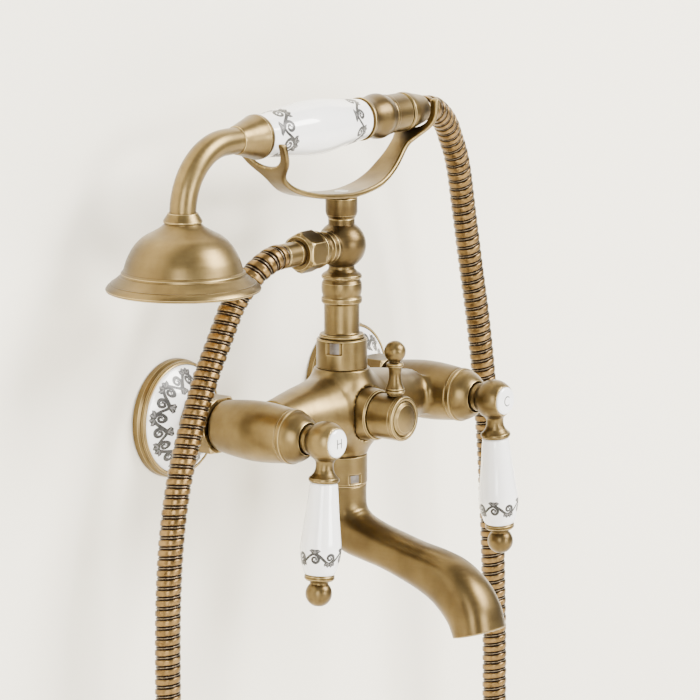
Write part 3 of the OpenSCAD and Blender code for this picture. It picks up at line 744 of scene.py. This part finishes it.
def body_field(p):
    arms = turned_field(p, COLUMN, RIGHT, ARM)
    mid = turned_field(p, COLUMN, UP, MIDDLE)
    boss = turned_field(p, COLUMN, OUT, [(15.2, 0), (15.2, 15), (14.6, 16)])
    whole = blend_min(blend_min(arms, mid, 5), boss, 1.5)
    for side in HUBS:
        base = HUBS[side] * [1, 0, 1]
        whole = blend_min(whole, turned_field(p, base, OUT, BULB), 5)
        stub = turned_field(p, base, OUT, [(12.9, 28), (12.9, 31), (10.6, 31.2), (10.6, 40)])
        whole = np.minimum(whole, stub)
        whole = bored(whole, p, base, OUT, (11.5, 48), (11.5, 90))
        whole = bored(whole, p, base, OUT, (7, 20), (7, 50))
    whole = np.minimum(whole, turned_field(p, COLUMN, UP, [(11.8, -34), (11.8, -24)]))
    for r, start, end in ((9.5, 46, 71), (11, 70, 90), (14.9, 76, 90)):
        whole = bored(whole, p, DIVERTER.origin, OUT, (r, start), (r, end))
    for r, start, end in ((10, 12, 30), (9.1, -40, -18)):
        whole = bored(whole, p, COLUMN, UP, (r, start), (r, end))
    return whole


carved("main_body", body_field, (-93.5, -87, -35.5), (93.5, -26.5, 25.5), 1.0,
    Place(COLUMN, RIGHT))

# ---- valves and levers

PORCELAIN_LEVER = [(6.8, 22)] + curve([(7.5, 22.8), (8.1, 28), (9, 38), (10.2, 48), (11.2, 57),
    (10.7, 63), (9.4, 69), (8.3, 71.4)]) + [(7.8, 72)]
HUB_NECK = [(5.2, 5), (4.9, 11), (4.8, 13), (5, 15), (5.8, 17), (7.2, 18.6), (8.2, 19.4),
    (8.4, 20.2), (8.4, 20.9), (7.6, 22)]


def hub_field(side):
    base, down = HUBS[side], lever(side)

    def field(p):
        whole = np.sqrt(((p - base) ** 2).sum(-1)) - 11.2
        whole = blend_min(whole, turned_field(p, base, down.turn[:, 2], HUB_NECK), 1.6)
        skirt = turned_field(p, base * [1, 0, 1], OUT, [(7.8, 95.6), (8, 99), (7, 103)])
        whole = blend_max(blend_min(whole, skirt, 1), (p - base) @ OUT - 8.2, 0.6)
        for r, start, end in ((7.8, 5.6, 12), (4.4, 4, 6), (4.1, -12, 2)):
            whole = bored(whole, p, base, OUT, (r, start), (r, end))
        return bored(whole, p, base, down.turn[:, 2], (2.6, 6.4), (2.6, 23))
    return field


for side in ("hot", "cold"):
    at, down, hub = inlet(side), lever(side), HUBS[side]
    turned(f"{side}_bonnet", [(11.4, 62), (11.4, 85), (14.7, 85), (15.1, 85.4), (15, 87.7),
        (14.4, 88.3)] + curve([(14.1, 89.5), (13.4, 91.4), (12.2, 93.6), (10.6, 95.8), (9.4, 97)],
        3) + [(8.9, 97.4), (8.5, 97), (8.5, 95.2)], at, inside=[(4.05, 95.2), (4.05, 75.5),
        (7, 75.5), (7, 62)])
    carved(f"{side}_handle_hub", hub_field(side), hub - [13.5, 12, 23.5], hub + [13.5, 14.5, 12],
        0.5, down)
    turned(f"{side}_lever_porcelain", PORCELAIN_LEVER, down, 2.6)
    turned(f"{side}_lever_finial", [(7.6, 72), (8.2, 72.8), (8.2, 74.4), (7.3, 75.3), (5, 76)]
        + ball(82.5, 7.2, 4.4, 2.6)[1:], down, inside=[(2.6, 89.1), (2.6, 72)])
    turned(f"{side}_index_button", [(7.7, 114.6), (7.7, 117.3), (6.9, 117.9), (5, 118.3),
        (2.5, 118.48)], at)

# ---- diverter

turned("diverter_base_ring", [(10.9, 70.2), (10.9, 76), (14.4, 76), (14.8, 76.6), (14.7, 80),
    (14.1, 85.8), (13.4, 86.8)], DIVERTER, 3.05)
turned("diverter_knob", [(12.3, 86.9), (12.5, 87.4), (12.5, 101.4), (12.3, 101.7), (12.5, 102),
    (12.5, 103.1), (12.1, 104.1), (11, 104.5), (10.2, 104.3), (9.6, 103.7)], DIVERTER,
    inside=[(9.6, 101.9), (3.1, 101.9), (3.1, 87.1)])
turned("diverter_cap", [(9.4, 101.9), (9.4, 104), (9, 104.4), (7.6, 105.2), (5, 105.7),
    (2, 105.95)], DIVERTER)
KNOB_LEVER = Place(np.array(JOINTS["diverter_turn"]["pos_m"]) / MM, UP)
turned("diverter_lever", [(2.4, 6.2), (2.4, 12.5), (4.4, 12.5), (4.4, 13.6), (5.4, 14), (5.5, 15),
    (5, 15.6), (5.2, 16.4), (4.6, 17.6)] + curve([(4, 19.4), (3.5, 22), (3.3, 24.6), (3.6, 27.4)],
    4) + [(4, 28.4), (4.7, 28.8), (4.8, 30), (4.3, 30.7), (3.4, 31), (3, 31.4)]
    + ball(37, 6, 2.9, 0.4), KNOB_LEVER)

# ---- column, tee and cradle post

turned("riser_collar", [(9.9, 12.4), (9.9, 24), (13.7, 24), (14.1, 24.5)]
    + levels(14.1, 32.3, 40, 0.25) + [(14.1, 40.1), (13.5, 40.7)], COLUMN_AXIS, 5.5,
    dent=window(math.radians(200), 9.1, 36.3, 6.8, 1.0, 14.1), sides=256)
turned("riser_post", [(8, 31.4), (8, 40.7), (11.6, 40.7), (12.5, 41.3), (12.6, 42.1), (12, 43.2),
    (10.4, 43.6), (9.95, 44.3), (9.85, 45.5), (9.85, 60), (10.7, 60.2), (11.3, 61), (11.3, 63.2),
    (10.6, 64.2), (10.6, 64.8), (11.1, 66.4), (11.3, 69), (11.1, 71.6), (10.2, 73.3), (10.2, 73.9),
    (11.1, 74.3), (11.3, 75.2), (11, 76.1), (10.2, 76.9), (8.5, 78), (7.4, 79.4), (7.2, 80.4)]
    + ball(92.7, 13.6, 7.2, 7.4, 26) + [(7.4, 107.5)], COLUMN_AXIS, 5)
turned("riser_post", [(9, 6), (9, 12.3), (8.7, 12.6)], OUTLET, suffix="outlet")
turned("cradle_post", [(5, 100.2), (5, 107.5), (7.4, 107.5), (7.7, 108.2), (8.5, 109.6),
    (8.9, 111.4), (8.9, 118.7), (8.3, 119.5)], COLUMN_AXIS, 2.1)
turned("hose_outlet_nipple", [(6.6, 8.2), (6.6, 12.6), (9, 12.6), (9.2, 13.2), (9.1, 16),
    (8.2, 17), (7.8, 18), (7.8, 20), (8.3, 21), (8.3, 33), (7.8, 33.4)], OUTLET, 4.5)
HEX_CORNER = 10.2 / math.cos(math.pi / 6)
hex_nut = turned("hose_hex_nut", [(9.8, 21.4), (10.4, 22), (10.4, 23.6), (9.6, 24.4),
    (HEX_CORNER - 1.4, 24.5), (HEX_CORNER, 26.2), (HEX_CORNER, 35), (HEX_CORNER - 0.8, 36.8),
    (HEX_CORNER - 2.6, 38.4)], OUTLET, inside=[(6.9, 38.4), (6.9, 36.2), (8.4, 36.2), (8.4, 21.4)],
    limit=hexagon(20.4), sides=192)
sleeve_low = turned("hose_sleeve_lower", [(8.2, 34.8), (8.2, 36.1), (6.8, 36.1), (6.8, 41),
    (6.5, 41.3), (6.8, 41.6), (6.8, 51.2), (6.4, 51.7)], OUTLET, 4)

# ---- cradle

STRAP = np.array(curve([(-69.4, 157.8), (-67.2, 152), (-64, 146.2), (-60, 140.2), (-54, 133.8),
    (-44, 128), (-26, 123.4), (0, 121), (19, 122.8), (32, 127.2), (43, 134.5), (52, 142.6),
    (59, 147.2), (64.2, 151.2), (67, 157), (68, 168)], 6))
STRAP_X = np.arange(-84, 84, 0.5)
STRAP_Z = np.arange(108, 180, 0.5)


def strap_table():
    """How far each point of the strap's side view lies from its middle line, and where along."""
    x, z = np.meshgrid(STRAP_X, STRAP_Z, indexing="ij")
    best = np.full(x.shape, 1e9)
    line_x = np.zeros(x.shape)
    for a, b in zip(STRAP[:-1], STRAP[1:]):
        step = b - a
        t = np.clip(((x - a[0]) * step[0] + (z - a[1]) * step[1]) / (step @ step), 0, 1)
        dx, dz = x - a[0] - t * step[0], z - a[1] - t * step[1]
        away = np.hypot(dx, dz)
        closer = away < np.abs(best)
        best[closer] = (away * np.sign(step[0] * dz - step[1] * dx))[closer]
        line_x[closer] = (a[0] + t * step[0])[closer]
    return best, line_x


STRAP_AWAY, STRAP_ALONG = strap_table()


def look_up(table, x, z):
    u = np.clip((x - STRAP_X[0]) / 0.5, 0, len(STRAP_X) - 1.001)
    v = np.clip((z - STRAP_Z[0]) / 0.5, 0, len(STRAP_Z) - 1.001)
    i, j = u.astype(int), v.astype(int)
    fu, fv = u - i, v - j
    return ((table[i, j] * (1 - fu) + table[i + 1, j] * fu) * (1 - fv)
        + (table[i, j + 1] * (1 - fu) + table[i + 1, j + 1] * fu) * fv)


def fork(w, z, centre_z, r):
    """Flat distance to a horseshoe whose middle line has radius r."""
    low = np.hypot(w, z - centre_z) - r
    high = np.abs(w) - r
    return np.abs(np.where(z < centre_z, low, high)) - 2.3


def cradle_field(p):
    x, w, z = p[..., 0], p[..., 1] - COLUMN[1], p[..., 2]
    away, along = look_up(STRAP_AWAY, x, z), look_up(STRAP_ALONG, x, z)
    half = np.interp(along, [-61, -56, -50, -40, -26, 26, 40, 48, 54, 59],
        [6.4, 5.9, 6.3, 7.8, 9, 9, 7.8, 6.4, 5.8, 6.2])
    band = np.maximum(np.abs(w) - half, np.maximum(-60.5 - along, along - 61.5))
    front = np.maximum(fork(w, z, 154.6, 14.95), along + 50)
    back = np.maximum(fork(w, z, 160.5, 12.6), 46 - along)
    flat = blend_min(blend_min(band, front, 6), back, 6)
    flat = blend_max(flat, np.where(x < 0, z - 157.6, z - 167.8), 1.5)
    thick = np.abs(away) - 1.5
    corner = 1.1
    a, b = flat + corner, thick + corner
    strap = np.minimum(np.maximum(a, b), 0) + np.hypot(np.maximum(a, 0), np.maximum(b, 0)) - corner
    whole = blend_min(strap, turned_field(p, COLUMN, UP, [(8.9, 119.5), (8.9, 121.2)]), 0.8)
    whole = bored(whole, p, COLUMN, UP, (2.2, 115), (2.2, 130))
    return bored(whole, p, COLUMN, UP, (2.2, 120.9), (5, 123.7))


carved("cradle", cradle_field, (-74.5, -79, 118), (71.5, -41, 170), 0.7, Place(COLUMN, OUT))

# ---- spout

SPOUT = np.array([(60, -41.8, -90, 13.6, 13.6), (60, -52, -88, 13.6, 13.6),
    (61.5, -59, -72, 13.6, 13.6), (65.5, -64.8, -48, 13.4, 13.4), (72.5, -69, -27, 13.2, 12.4),
    (84, -72.2, -15, 13, 11.3), (96, -75, -14, 13, 11), (111, -79, -16, 13, 11.6),
    (124, -82.4, -19, 13.4, 13), (136, -87, -29, 14.2, 14.4), (146, -94.4, -46, 15, 14.8),
    (152.5, -103, -62, 15.6, 14), (156, -112.5, -75, 16, 12.8)], float)


def spout_rings(inset, sides, steps):
    stations = np.array(curve(SPOUT, steps))
    a = np.arange(sides) * 2 * math.pi / sides
    rings = []
    for out, z, lean, half_x, half_n in stations:
        squareness = 1 - 0.14 * min(1, max(0, (out - 60) / 12))
        u = np.sign(np.cos(a)) * np.abs(np.cos(a)) ** squareness * (half_x - inset)
        v = np.sign(np.sin(a)) * np.abs(np.sin(a)) ** squareness * (half_n - inset)
        lean = math.radians(lean)
        rings.append(np.stack([u, -(out - v * math.sin(lean)), z + v * math.cos(lean)], -1))
    return np.array(rings)


def spout_mesh():
    sides, steps = 96, 8
    outer = spout_rings(0, sides, steps)
    inner = spout_rings(2.4, sides, steps)[::-1]
    rim = [outer[-1] * (1 - t) + inner[0] * t for t in (0.1, 0.5, 0.9)]
    down = np.array([0, -math.cos(math.radians(75)), -math.sin(math.radians(75))]) * 0.3
    rim[1] = rim[1] + down
    top = [(inner[-1] + outer[0]) / 2]
    rings = np.concatenate([outer, rim, inner, top])
    piece("spout_fine", rings.reshape(-1, 3) * MM, skin_faces(len(rings), sides, True),
        BRASS, BODY["spout"], SLOT["spout"], ("spout",), grain=rings.reshape(-1, 3))


spout_mesh()
turned("spout_nut", [(13.5, -41), (14, -40.5)] + levels(14, -40.2, -34, 0.25)
    + [(14, -25.3), (13.5, -24.7)], COLUMN_AXIS, inside=[(11.9, -24.7), (11.9, -37), (10.1, -37),
    (10.1, -41)], dent=window(math.radians(251), 7.8, -37.4, 5, 0.8, 14), sides=256)

# ---- hand shower

BELL_OUTSIDE = [(41.5, 1.4), (40.2, 3.2), (36.4, 6.2), (33.4, 8.8)]
BELL_DOME = [(31.8, 12), (30.3, 16.6), (28.7, 20), (26.9, 23.1), (24.4, 26.2), (20.8, 29.2),
    (15.6, 32), (12, 34.2), (10.2, 35.8)]
BELL_INSIDE = [(7.25, 34.4), (9.4, 32.8), (13, 30.8), (18, 28), (22.4, 24.8), (25.6, 21),
    (28, 16.8), (29.4, 12.4)]
turned("shower_bell", [(40.3, 0), (41.2, 0.4)] + curve(BELL_OUTSIDE)
    + [(33.2, 10), (32.6, 10.7), (32, 11.2)] + curve(BELL_DOME) + [(10, 36.4), (10.5, 36.9),
    (10.5, 37.6), (9.5, 39.4), (8.6, 40.8), (8.2, 41.7), (7.8, 42), (7.25, 42)], BELL_AXIS,
    inside=curve(BELL_INSIDE) + [(31.4, 9.4), (34.6, 6.6), (37.4, 4.6), (39, 4.6), (39, 0)],
    sides=192)


def nozzles():
    """Small raised rims round the holes of the face plate."""
    points, faces = [], []
    section = [(0.85, 0.45), (0.9, 0.05), (1.25, 0), (1.6, 0.42)]
    sides = 12
    for row in range(1, 5):
        for k in range(6 * row):
            turn = 2 * math.pi * k / (6 * row)
            start = len(points)
            for r, h in section:
                for j in range(sides):
                    a = 2 * math.pi * j / sides
                    points.append((8 * row * math.cos(turn) + r * math.cos(a), 8 * row
                        * math.sin(turn) + r * math.sin(a), h))
            faces += skin_faces(len(section), sides, start=start)
    piece("shower_faceplate_nozzles", BELL_AXIS.world(points), faces, PLAIN_BRASS,
        BODY["shower_faceplate"], SLOT["shower_faceplate"], closed=False)


nozzles()


def neck():
    """The bent tube between the grip and the bell."""
    bend, corner_x, corner_z = 35.0, BELL[0] + 35, GRIP[2] - 35
    line = [(x, GRIP[1], GRIP[2]) for x in np.arange(-79, corner_x, -2.5)]
    line += [(corner_x - bend * math.sin(t), GRIP[1], corner_z + bend * math.cos(t))
        for t in np.linspace(0, math.pi / 2, 40)]
    line += [(BELL[0], GRIP[1], corner_z - d) for d in (1.5, 3.5)]
    sides = 64
    rings = swept(line, [np.full(sides, 7.2)] * len(line))
    along = np.repeat(np.arange(len(line)) * 2.0, sides)
    angle = np.tile(np.arange(sides) * 2 * math.pi / sides, len(line))
    grain = np.stack([7.2 * np.cos(angle), 7.2 * np.sin(angle), along], -1)
    piece("shower_neck_fine", rings.reshape(-1, 3) * MM, tube_faces(len(line), sides),
        BRASS, BODY["shower_neck"], SLOT["shower_neck"], ("shower_neck",), grain=grain)


neck()
turned("grip_front_ferrule", [(7.3, -90.4), (7.7, -90.2), (8, -89.4), (8.2, -88), (9.4, -84),
    (10.8, -79), (11.8, -75.4), (12.3, -74.2), (12.3, -72.2), (11.8, -71)], GRIP_AXIS,
    inside=[(7.05, -71), (7.05, -78.4), (7.25, -78.5), (7.25, -90.4)])
GRIP_OUTSIDE = curve([(11.5, -70.4), (12.2, -62), (13.5, -50), (15, -36), (15.4, -26), (15, -16),
    (13.4, -3), (12.1, 8), (11.5, 14)])
turned("grip_porcelain", [(10.8, -71)] + GRIP_OUTSIDE + [(10.8, 14.7)], GRIP_AXIS, 7.1)
turned("grip_end_collar", [(11.1, 14.7), (10.8, 14.9), (10.8, 15.7), (12.1, 16.1), (12.1, 17.2),
    (11.8, 17.8), (11.3, 18.3)] + curve([(11.1, 19.4), (11.1, 21), (11.3, 23.4), (11.9, 26.2),
    (12.5, 29), (12.7, 31.4), (12.2, 34), (11.4, 36.4), (11.2, 36.9)], 4) + [(11.3, 37.3),
    (11.3, 39.3), (10.8, 40), (10.8, 51.3), (10.2, 52), (8, 52), (8, 58.6), (7.6, 59)], GRIP_AXIS,
    inside=[(4.6, 59), (4.6, 28.2), (7.05, 28.2), (7.05, 14.7)])
cone_nut = turned("hose_cone_nut", [(10.3, 53), (11, 53.7), (11, 56), (10.5, 58.6), (9.9, 61),
    (9, 65.4), (8.2, 69.2), (7.8, 70)], GRIP_AXIS, inside=[(6.2, 70), (6.2, 61.8), (8.1, 61.8),
    (8.1, 53)])
sleeve_up = turned("hose_sleeve_upper", [(7.8, 60.2), (7.8, 61.6), (6, 61.6), (6, 70)], GRIP_AXIS,
    4)

# ---- hose

ROUTE = [(-51.7, -60, 92.7), (-57, -60, 92.7), (-63.5, -60, 91.3), (-70, -59, 88), (-76, -57, 83),
    (-81.5, -55, 76), (-85.5, -53, 69), (-89.5, -52, 61), (-95.5, -51, 49), (-103.5, -50, 34),
    (-113.5, -50, 14), (-121.7, -50, -5), (-128.2, -50, -24), (-133, -50, -46), (-136, -50, -70),
    (-137.5, -50, -95), *((-138, -50, z) for z in range(-130, -331, -40)), (-133, -50, -370),
    (-118, -49, -408), (-95, -49, -441), (-63, -49, -465), (-27, -48, -479), (11, -48, -484),
    (49, -48, -479), (85, -47, -465), (117, -47, -441), (140, -47, -408), (155, -46, -370),
    (159.4, -46, -330), *((160, -46, z) for z in range(-290, -169, 40)), (159, -46, -130),
    (157, -46, -90), (153.5, -46, -45), (148.7, -46, -5), (142.9, -46, 30), (136.3, -46, 61),
    (131.4, -46.5, 82), (126.3, -47.5, 101), (120.6, -49.5, 117), (114.3, -51.5, 130),
    (107.6, -53, 140), (102.1, -55, 146.5), (96.1, -56.5, 152), (89.3, -58, 156.5),
    (82.3, -59.5, 159.5), (75, -60, 160.7), (70.4, -60, 160.7)]
PITCH = 5.4            # from one band to the next
BAND_SHARE = 0.62      # of the pitch
THREAD_AT = 0.81       # middle of the narrow ring, as a share of the pitch


def hose():
    """A ringed metal hose that follows the route: a raised band and a narrow one to each pitch."""
    fine = np.array(curve(ROUTE, 40))
    gaps = np.linalg.norm(np.diff(fine, axis=0), axis=1)
    travel = np.concatenate([[0], np.cumsum(gaps)])
    length = travel[-1]
    samples = 15
    sides = 32
    count = int(length / PITCH * samples)
    at = np.linspace(0, length, count)
    line = np.stack([np.interp(at, travel, fine[:, k]) for k in range(3)], -1)
    angle = np.arange(sides) * 2 * math.pi / sides
    phase = np.mod(at[:, None] / PITCH - angle[None, :] / (2 * math.pi), 1)
    wide = np.clip(np.minimum(phase, BAND_SHARE - phase) / 0.12, 0, 1)
    thin = np.clip(1 - np.abs(phase - THREAD_AT) / 0.075, 0, 1)
    wide, thin = np.sqrt(wide * (2 - wide)), np.sqrt(thin * (2 - thin))
    ease = np.clip(np.minimum(at, length - at) / 2, 0, 1)[:, None]
    radius = 6.35 + (0.75 * wide + 0.45 * thin) * ease
    rings = swept(line, radius).reshape(-1, 3)
    made = piece("hose_rings", rings * MM, tube_faces(count, sides), HOSE, None, SLOT["hose"],
        ("hose",), extra={"band": wide, "thread": thin})
    start, end = line[0] * MM, line[-1] * MM
    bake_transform(made)
    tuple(start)
    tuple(start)


hose()

# ---- painted scrolls and marks


class Paint:
    """Thin raised strokes on a surface. surface(u, v, lift) gives local points in millimetres."""

    def __init__(self, surface, core=True):
        self.surface, self.points, self.faces = surface, [], []
        self.core = Paint(surface, False) if core else None

    def stroke(self, line, widths, lift=0.05):
        line = np.array(line, float)
        widths = np.interp(np.linspace(0, 1, len(line)), np.linspace(0, 1, len(widths)), widths)
        ahead = np.gradient(line, axis=0)
        ahead /= np.maximum(np.linalg.norm(ahead, axis=1), 1e-9)[:, None]
        across = np.stack([-ahead[:, 1], ahead[:, 0]], -1) * widths[:, None] / 2
        start = len(self.points)
        for share, rise in ((-1, 0), (-0.5, 0.8), (0, 1), (0.5, 0.8), (1, 0)):
            edge = line + share * across
            self.points += list(self.surface(edge[:, 0], edge[:, 1], lift * (0.3 + 0.7 * rise)))
        n = len(line)
        for row in range(4):
            self.faces += [(start + row * n + i, start + row * n + i + 1, start + (row + 1) * n + i
                + 1, start + (row + 1) * n + i) for i in range(n - 1)]

    def leaf(self, root, tip, width, bend=0.0):
        """A pointed leaf from root to tip, bent sideways."""
        root, tip = np.array(root, float), np.array(tip, float)
        ahead = tip - root
        side = np.array([-ahead[1], ahead[0]])
        t = np.linspace(0, 1, 9)[:, None]
        line = root + ahead * t + side * bend * (t - t * t) * 4
        shape = np.array((0.1, 0.8, 1, 0.75, 0.05)) * width
        self.stroke(line, shape)
        if self.core:
            self.core.stroke(line[1:-1], 0.34 * shape[1:-1], 0.08)

    def curl(self, centre, start, turns, outer, inner, width):
        """A spiral that winds in from the outer radius."""
        t = np.linspace(0, 1, int(18 * abs(turns)) + 6)
        angle = start + turns * 2 * math.pi * t
        r = outer + (inner - outer) * t ** 0.8
        line = np.stack([centre[0] + r * np.cos(angle), centre[1] + r * np.sin(angle)], -1)
        self.stroke(line, (width, width, 0.8 * width, 0.6 * width))
        self.leaf(line[-1], line[-1] + (np.array(centre) - line[-1]) * 0.9, 2.4 * width)
        return line[0]

    def finish(self, name, place, body, slot, material=SCROLL):
        piece(name, place.world(self.points), self.faces, material, body, slot, closed=False)
        if self.core:
            self.core.finish(name + "_core", place, body, slot, LEAF)


def around(paint, centre_u, reach, circumference, repeats, width):
    """A running vine of opposed curls with leaves, all the way round."""
    step = circumference / repeats
    for k in range(repeats):
        v = k * step
        t = np.linspace(0, 1, 25)
        wave = np.stack([centre_u + 0.62 * reach * np.sin(2 * math.pi * t), v + step * t], -1)
        paint.stroke(wave, (0.8 * width, width, 0.8 * width))
        for half, sign in ((0.25, 1), (0.75, -1)):
            middle = (centre_u - sign * 0.10 * reach, v + step * half)
            paint.curl(middle, 0 if sign > 0 else math.pi, -1.35 * sign, 0.66 * reach, 0.16
                * reach, width)
            crest = np.array([centre_u + sign * 0.6 * reach, v + step * half])
            for turn, size in ((-1.1, 0.85), (-0.35, 0.6), (0.35, 0.6), (1.1, 0.85)):
                tip = crest + np.array([sign * math.cos(turn), math.sin(turn)]) * size * reach
                paint.leaf(crest, tip, 1.5 * width, 0.2 * (1 if turn > 0 else -1))


def on_turned(outline, reference):
    """Paint coordinates of a turned piece: u is the height and v runs round at the reference."""
    o = np.array(sorted(outline, key=lambda q: q[1]))

    def surface(u, v, lift):
        r = np.interp(u, o[:, 1], o[:, 0]) + lift
        return np.stack([r * np.cos(v / reference), r * np.sin(v / reference), u], -1)
    return surface


def on_disc(outline, reference):
    """Paint coordinates of a disc: u is the radius and v runs round at the reference radius."""
    o = np.array(sorted(outline))

    def surface(u, v, lift):
        h = np.interp(u, o[:, 0], o[:, 1]) + lift
        return np.stack([u * np.cos(v / reference), u * np.sin(v / reference), h], -1)
    return surface


for side, name in (("hot", "left"), ("cold", "right")):
    disc = Paint(on_disc(FLANGE_DOME, 23.4))
    around(disc, 23.2, 4.8, 2 * math.pi * 23.4, 9, 1.9)
    disc.finish(f"flange_scroll_{name}", inlet(side), "root", "flange_porcelain")
    band = Paint(on_turned(PORCELAIN_LEVER, 10.9))
    around(band, 62.0, 4.2, 2 * math.pi * 10.9, 4, 1.6)
    band.finish(f"{side}_lever_scroll", lever(side), BODY[f"{side}_lever_porcelain"],
        "lever_porcelain")

grip = Paint(on_turned(GRIP_OUTSIDE, 12.6))
around(grip, -58.6, 6.0, 2 * math.pi * 12.6, 4, 2.0)
around(grip, 2.6, 4.9, 2 * math.pi * 12.6, 4, 1.8)
grip.finish("grip_scroll", GRIP_AXIS, BODY["grip_porcelain"], "grip_porcelain")

DOME = [(0, 118.48), (2.5, 118.48), (5, 118.3), (6.9, 117.9)]


def on_button(u, v, lift):
    o = np.array(DOME)
    return np.stack([u, v, np.interp(np.hypot(u, v), o[:, 0], o[:, 1]) + lift], -1)


letter = Paint(on_button, False)
for x in (-1.7, 1.7):
    letter.stroke([(x, y) for y in np.linspace(-2.6, 2.6, 7)], (0.75, 0.75))
letter.stroke([(x, 0.1) for x in np.linspace(-1.7, 1.7, 5)], (0.6, 0.6))
letter.finish("hot_mark", inlet("hot"), "hot_handle", "button_porcelain")
letter = Paint(on_button, False)
letter.stroke([(2.5 * math.cos(t), 2.6 * math.sin(t)) for t in np.linspace(0.75, 5.53, 24)],
    (0.5, 0.85, 0.5))
letter.finish("cold_mark", inlet("cold"), "cold_handle", "button_porcelain")

# Painted shade: a dark grey patch lies on the floor of each window recess in the collar and the
# spout nut.
for node, r, angle, low, high, wide in (("riser_collar", 13.1, 200, 33.2, 39.4, 8.6),
                                        ("spout_nut", 13.2, 251, -39.6, -35.2, 7.4)):
    floor = Paint(on_turned([(r, low - 5), (r, high + 5)], r), False)
    floor.stroke([(u, r * math.radians(angle)) for u in np.linspace(low, high, 5)], (wide, wide))
    floor.finish(node + "_window", COLUMN_AXIS, BODY[node], SLOT[node], RECESS_SHADE)

# ---- CAD nodes shown as they are

for node, made in frame["nodes"].items():
    if not made.hide_render:
        made.data.materials.clear()
        made.data.materials.append(FINISH[SLOT[node]])

# ---- stage

add_camera()
WALL = stage_material("wall_paint", (0.99, 0.945, 0.82), True)
FLOOR = stage_material("floor_paint", (0.86, 0.84, 0.80), False)
stage_plane("wall", 6, (0, 0.0006, 1), (math.pi / 2, 0, 0), WALL,
    [(HUBS[side][0] * MM, HUBS[side][2] * MM - 1) for side in HUBS], 0.027)
stage_plane("floor", 8, (0, 0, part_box("hose")[0][2] - 0.003), (0, 0, 0), FLOOR)
area_light("key", (1.1, -1.9, 1.7), (1.3, 1.3), 200, (1, 0.975, 0.93))
area_light("fill", (-2.4, -1.5, 0.5), (1.0, 1.8), 68, (1, 0.985, 0.96))
area_light("front", (0.2, -3.0, 0.3), (1.2, 0.8), 64, (1, 0.985, 0.95))

world = bpy.data.worlds.new("studio")
bpy.context.scene.world = world
world.use_nodes = True
tree = world.node_tree
background = tree.nodes["Background"]
view = tree.nodes.new("ShaderNodeTexCoord")
split = tree.nodes.new("ShaderNodeSeparateXYZ")
ramp = tree.nodes.new("ShaderNodeMapRange")
for key, number in (("From Min", -0.35), ("From Max", 0.8), ("To Min", 0.16), ("To Max", 0.88)):
    ramp.inputs[key].default_value = number
tree.links.new(view.outputs["Generated"], split.inputs[0])
tree.links.new(split.outputs["Z"], ramp.inputs["Value"])
tree.links.new(ramp.outputs["Result"], background.inputs["Strength"])
background.inputs["Color"].default_value = (1, 0.98, 0.94, 1)
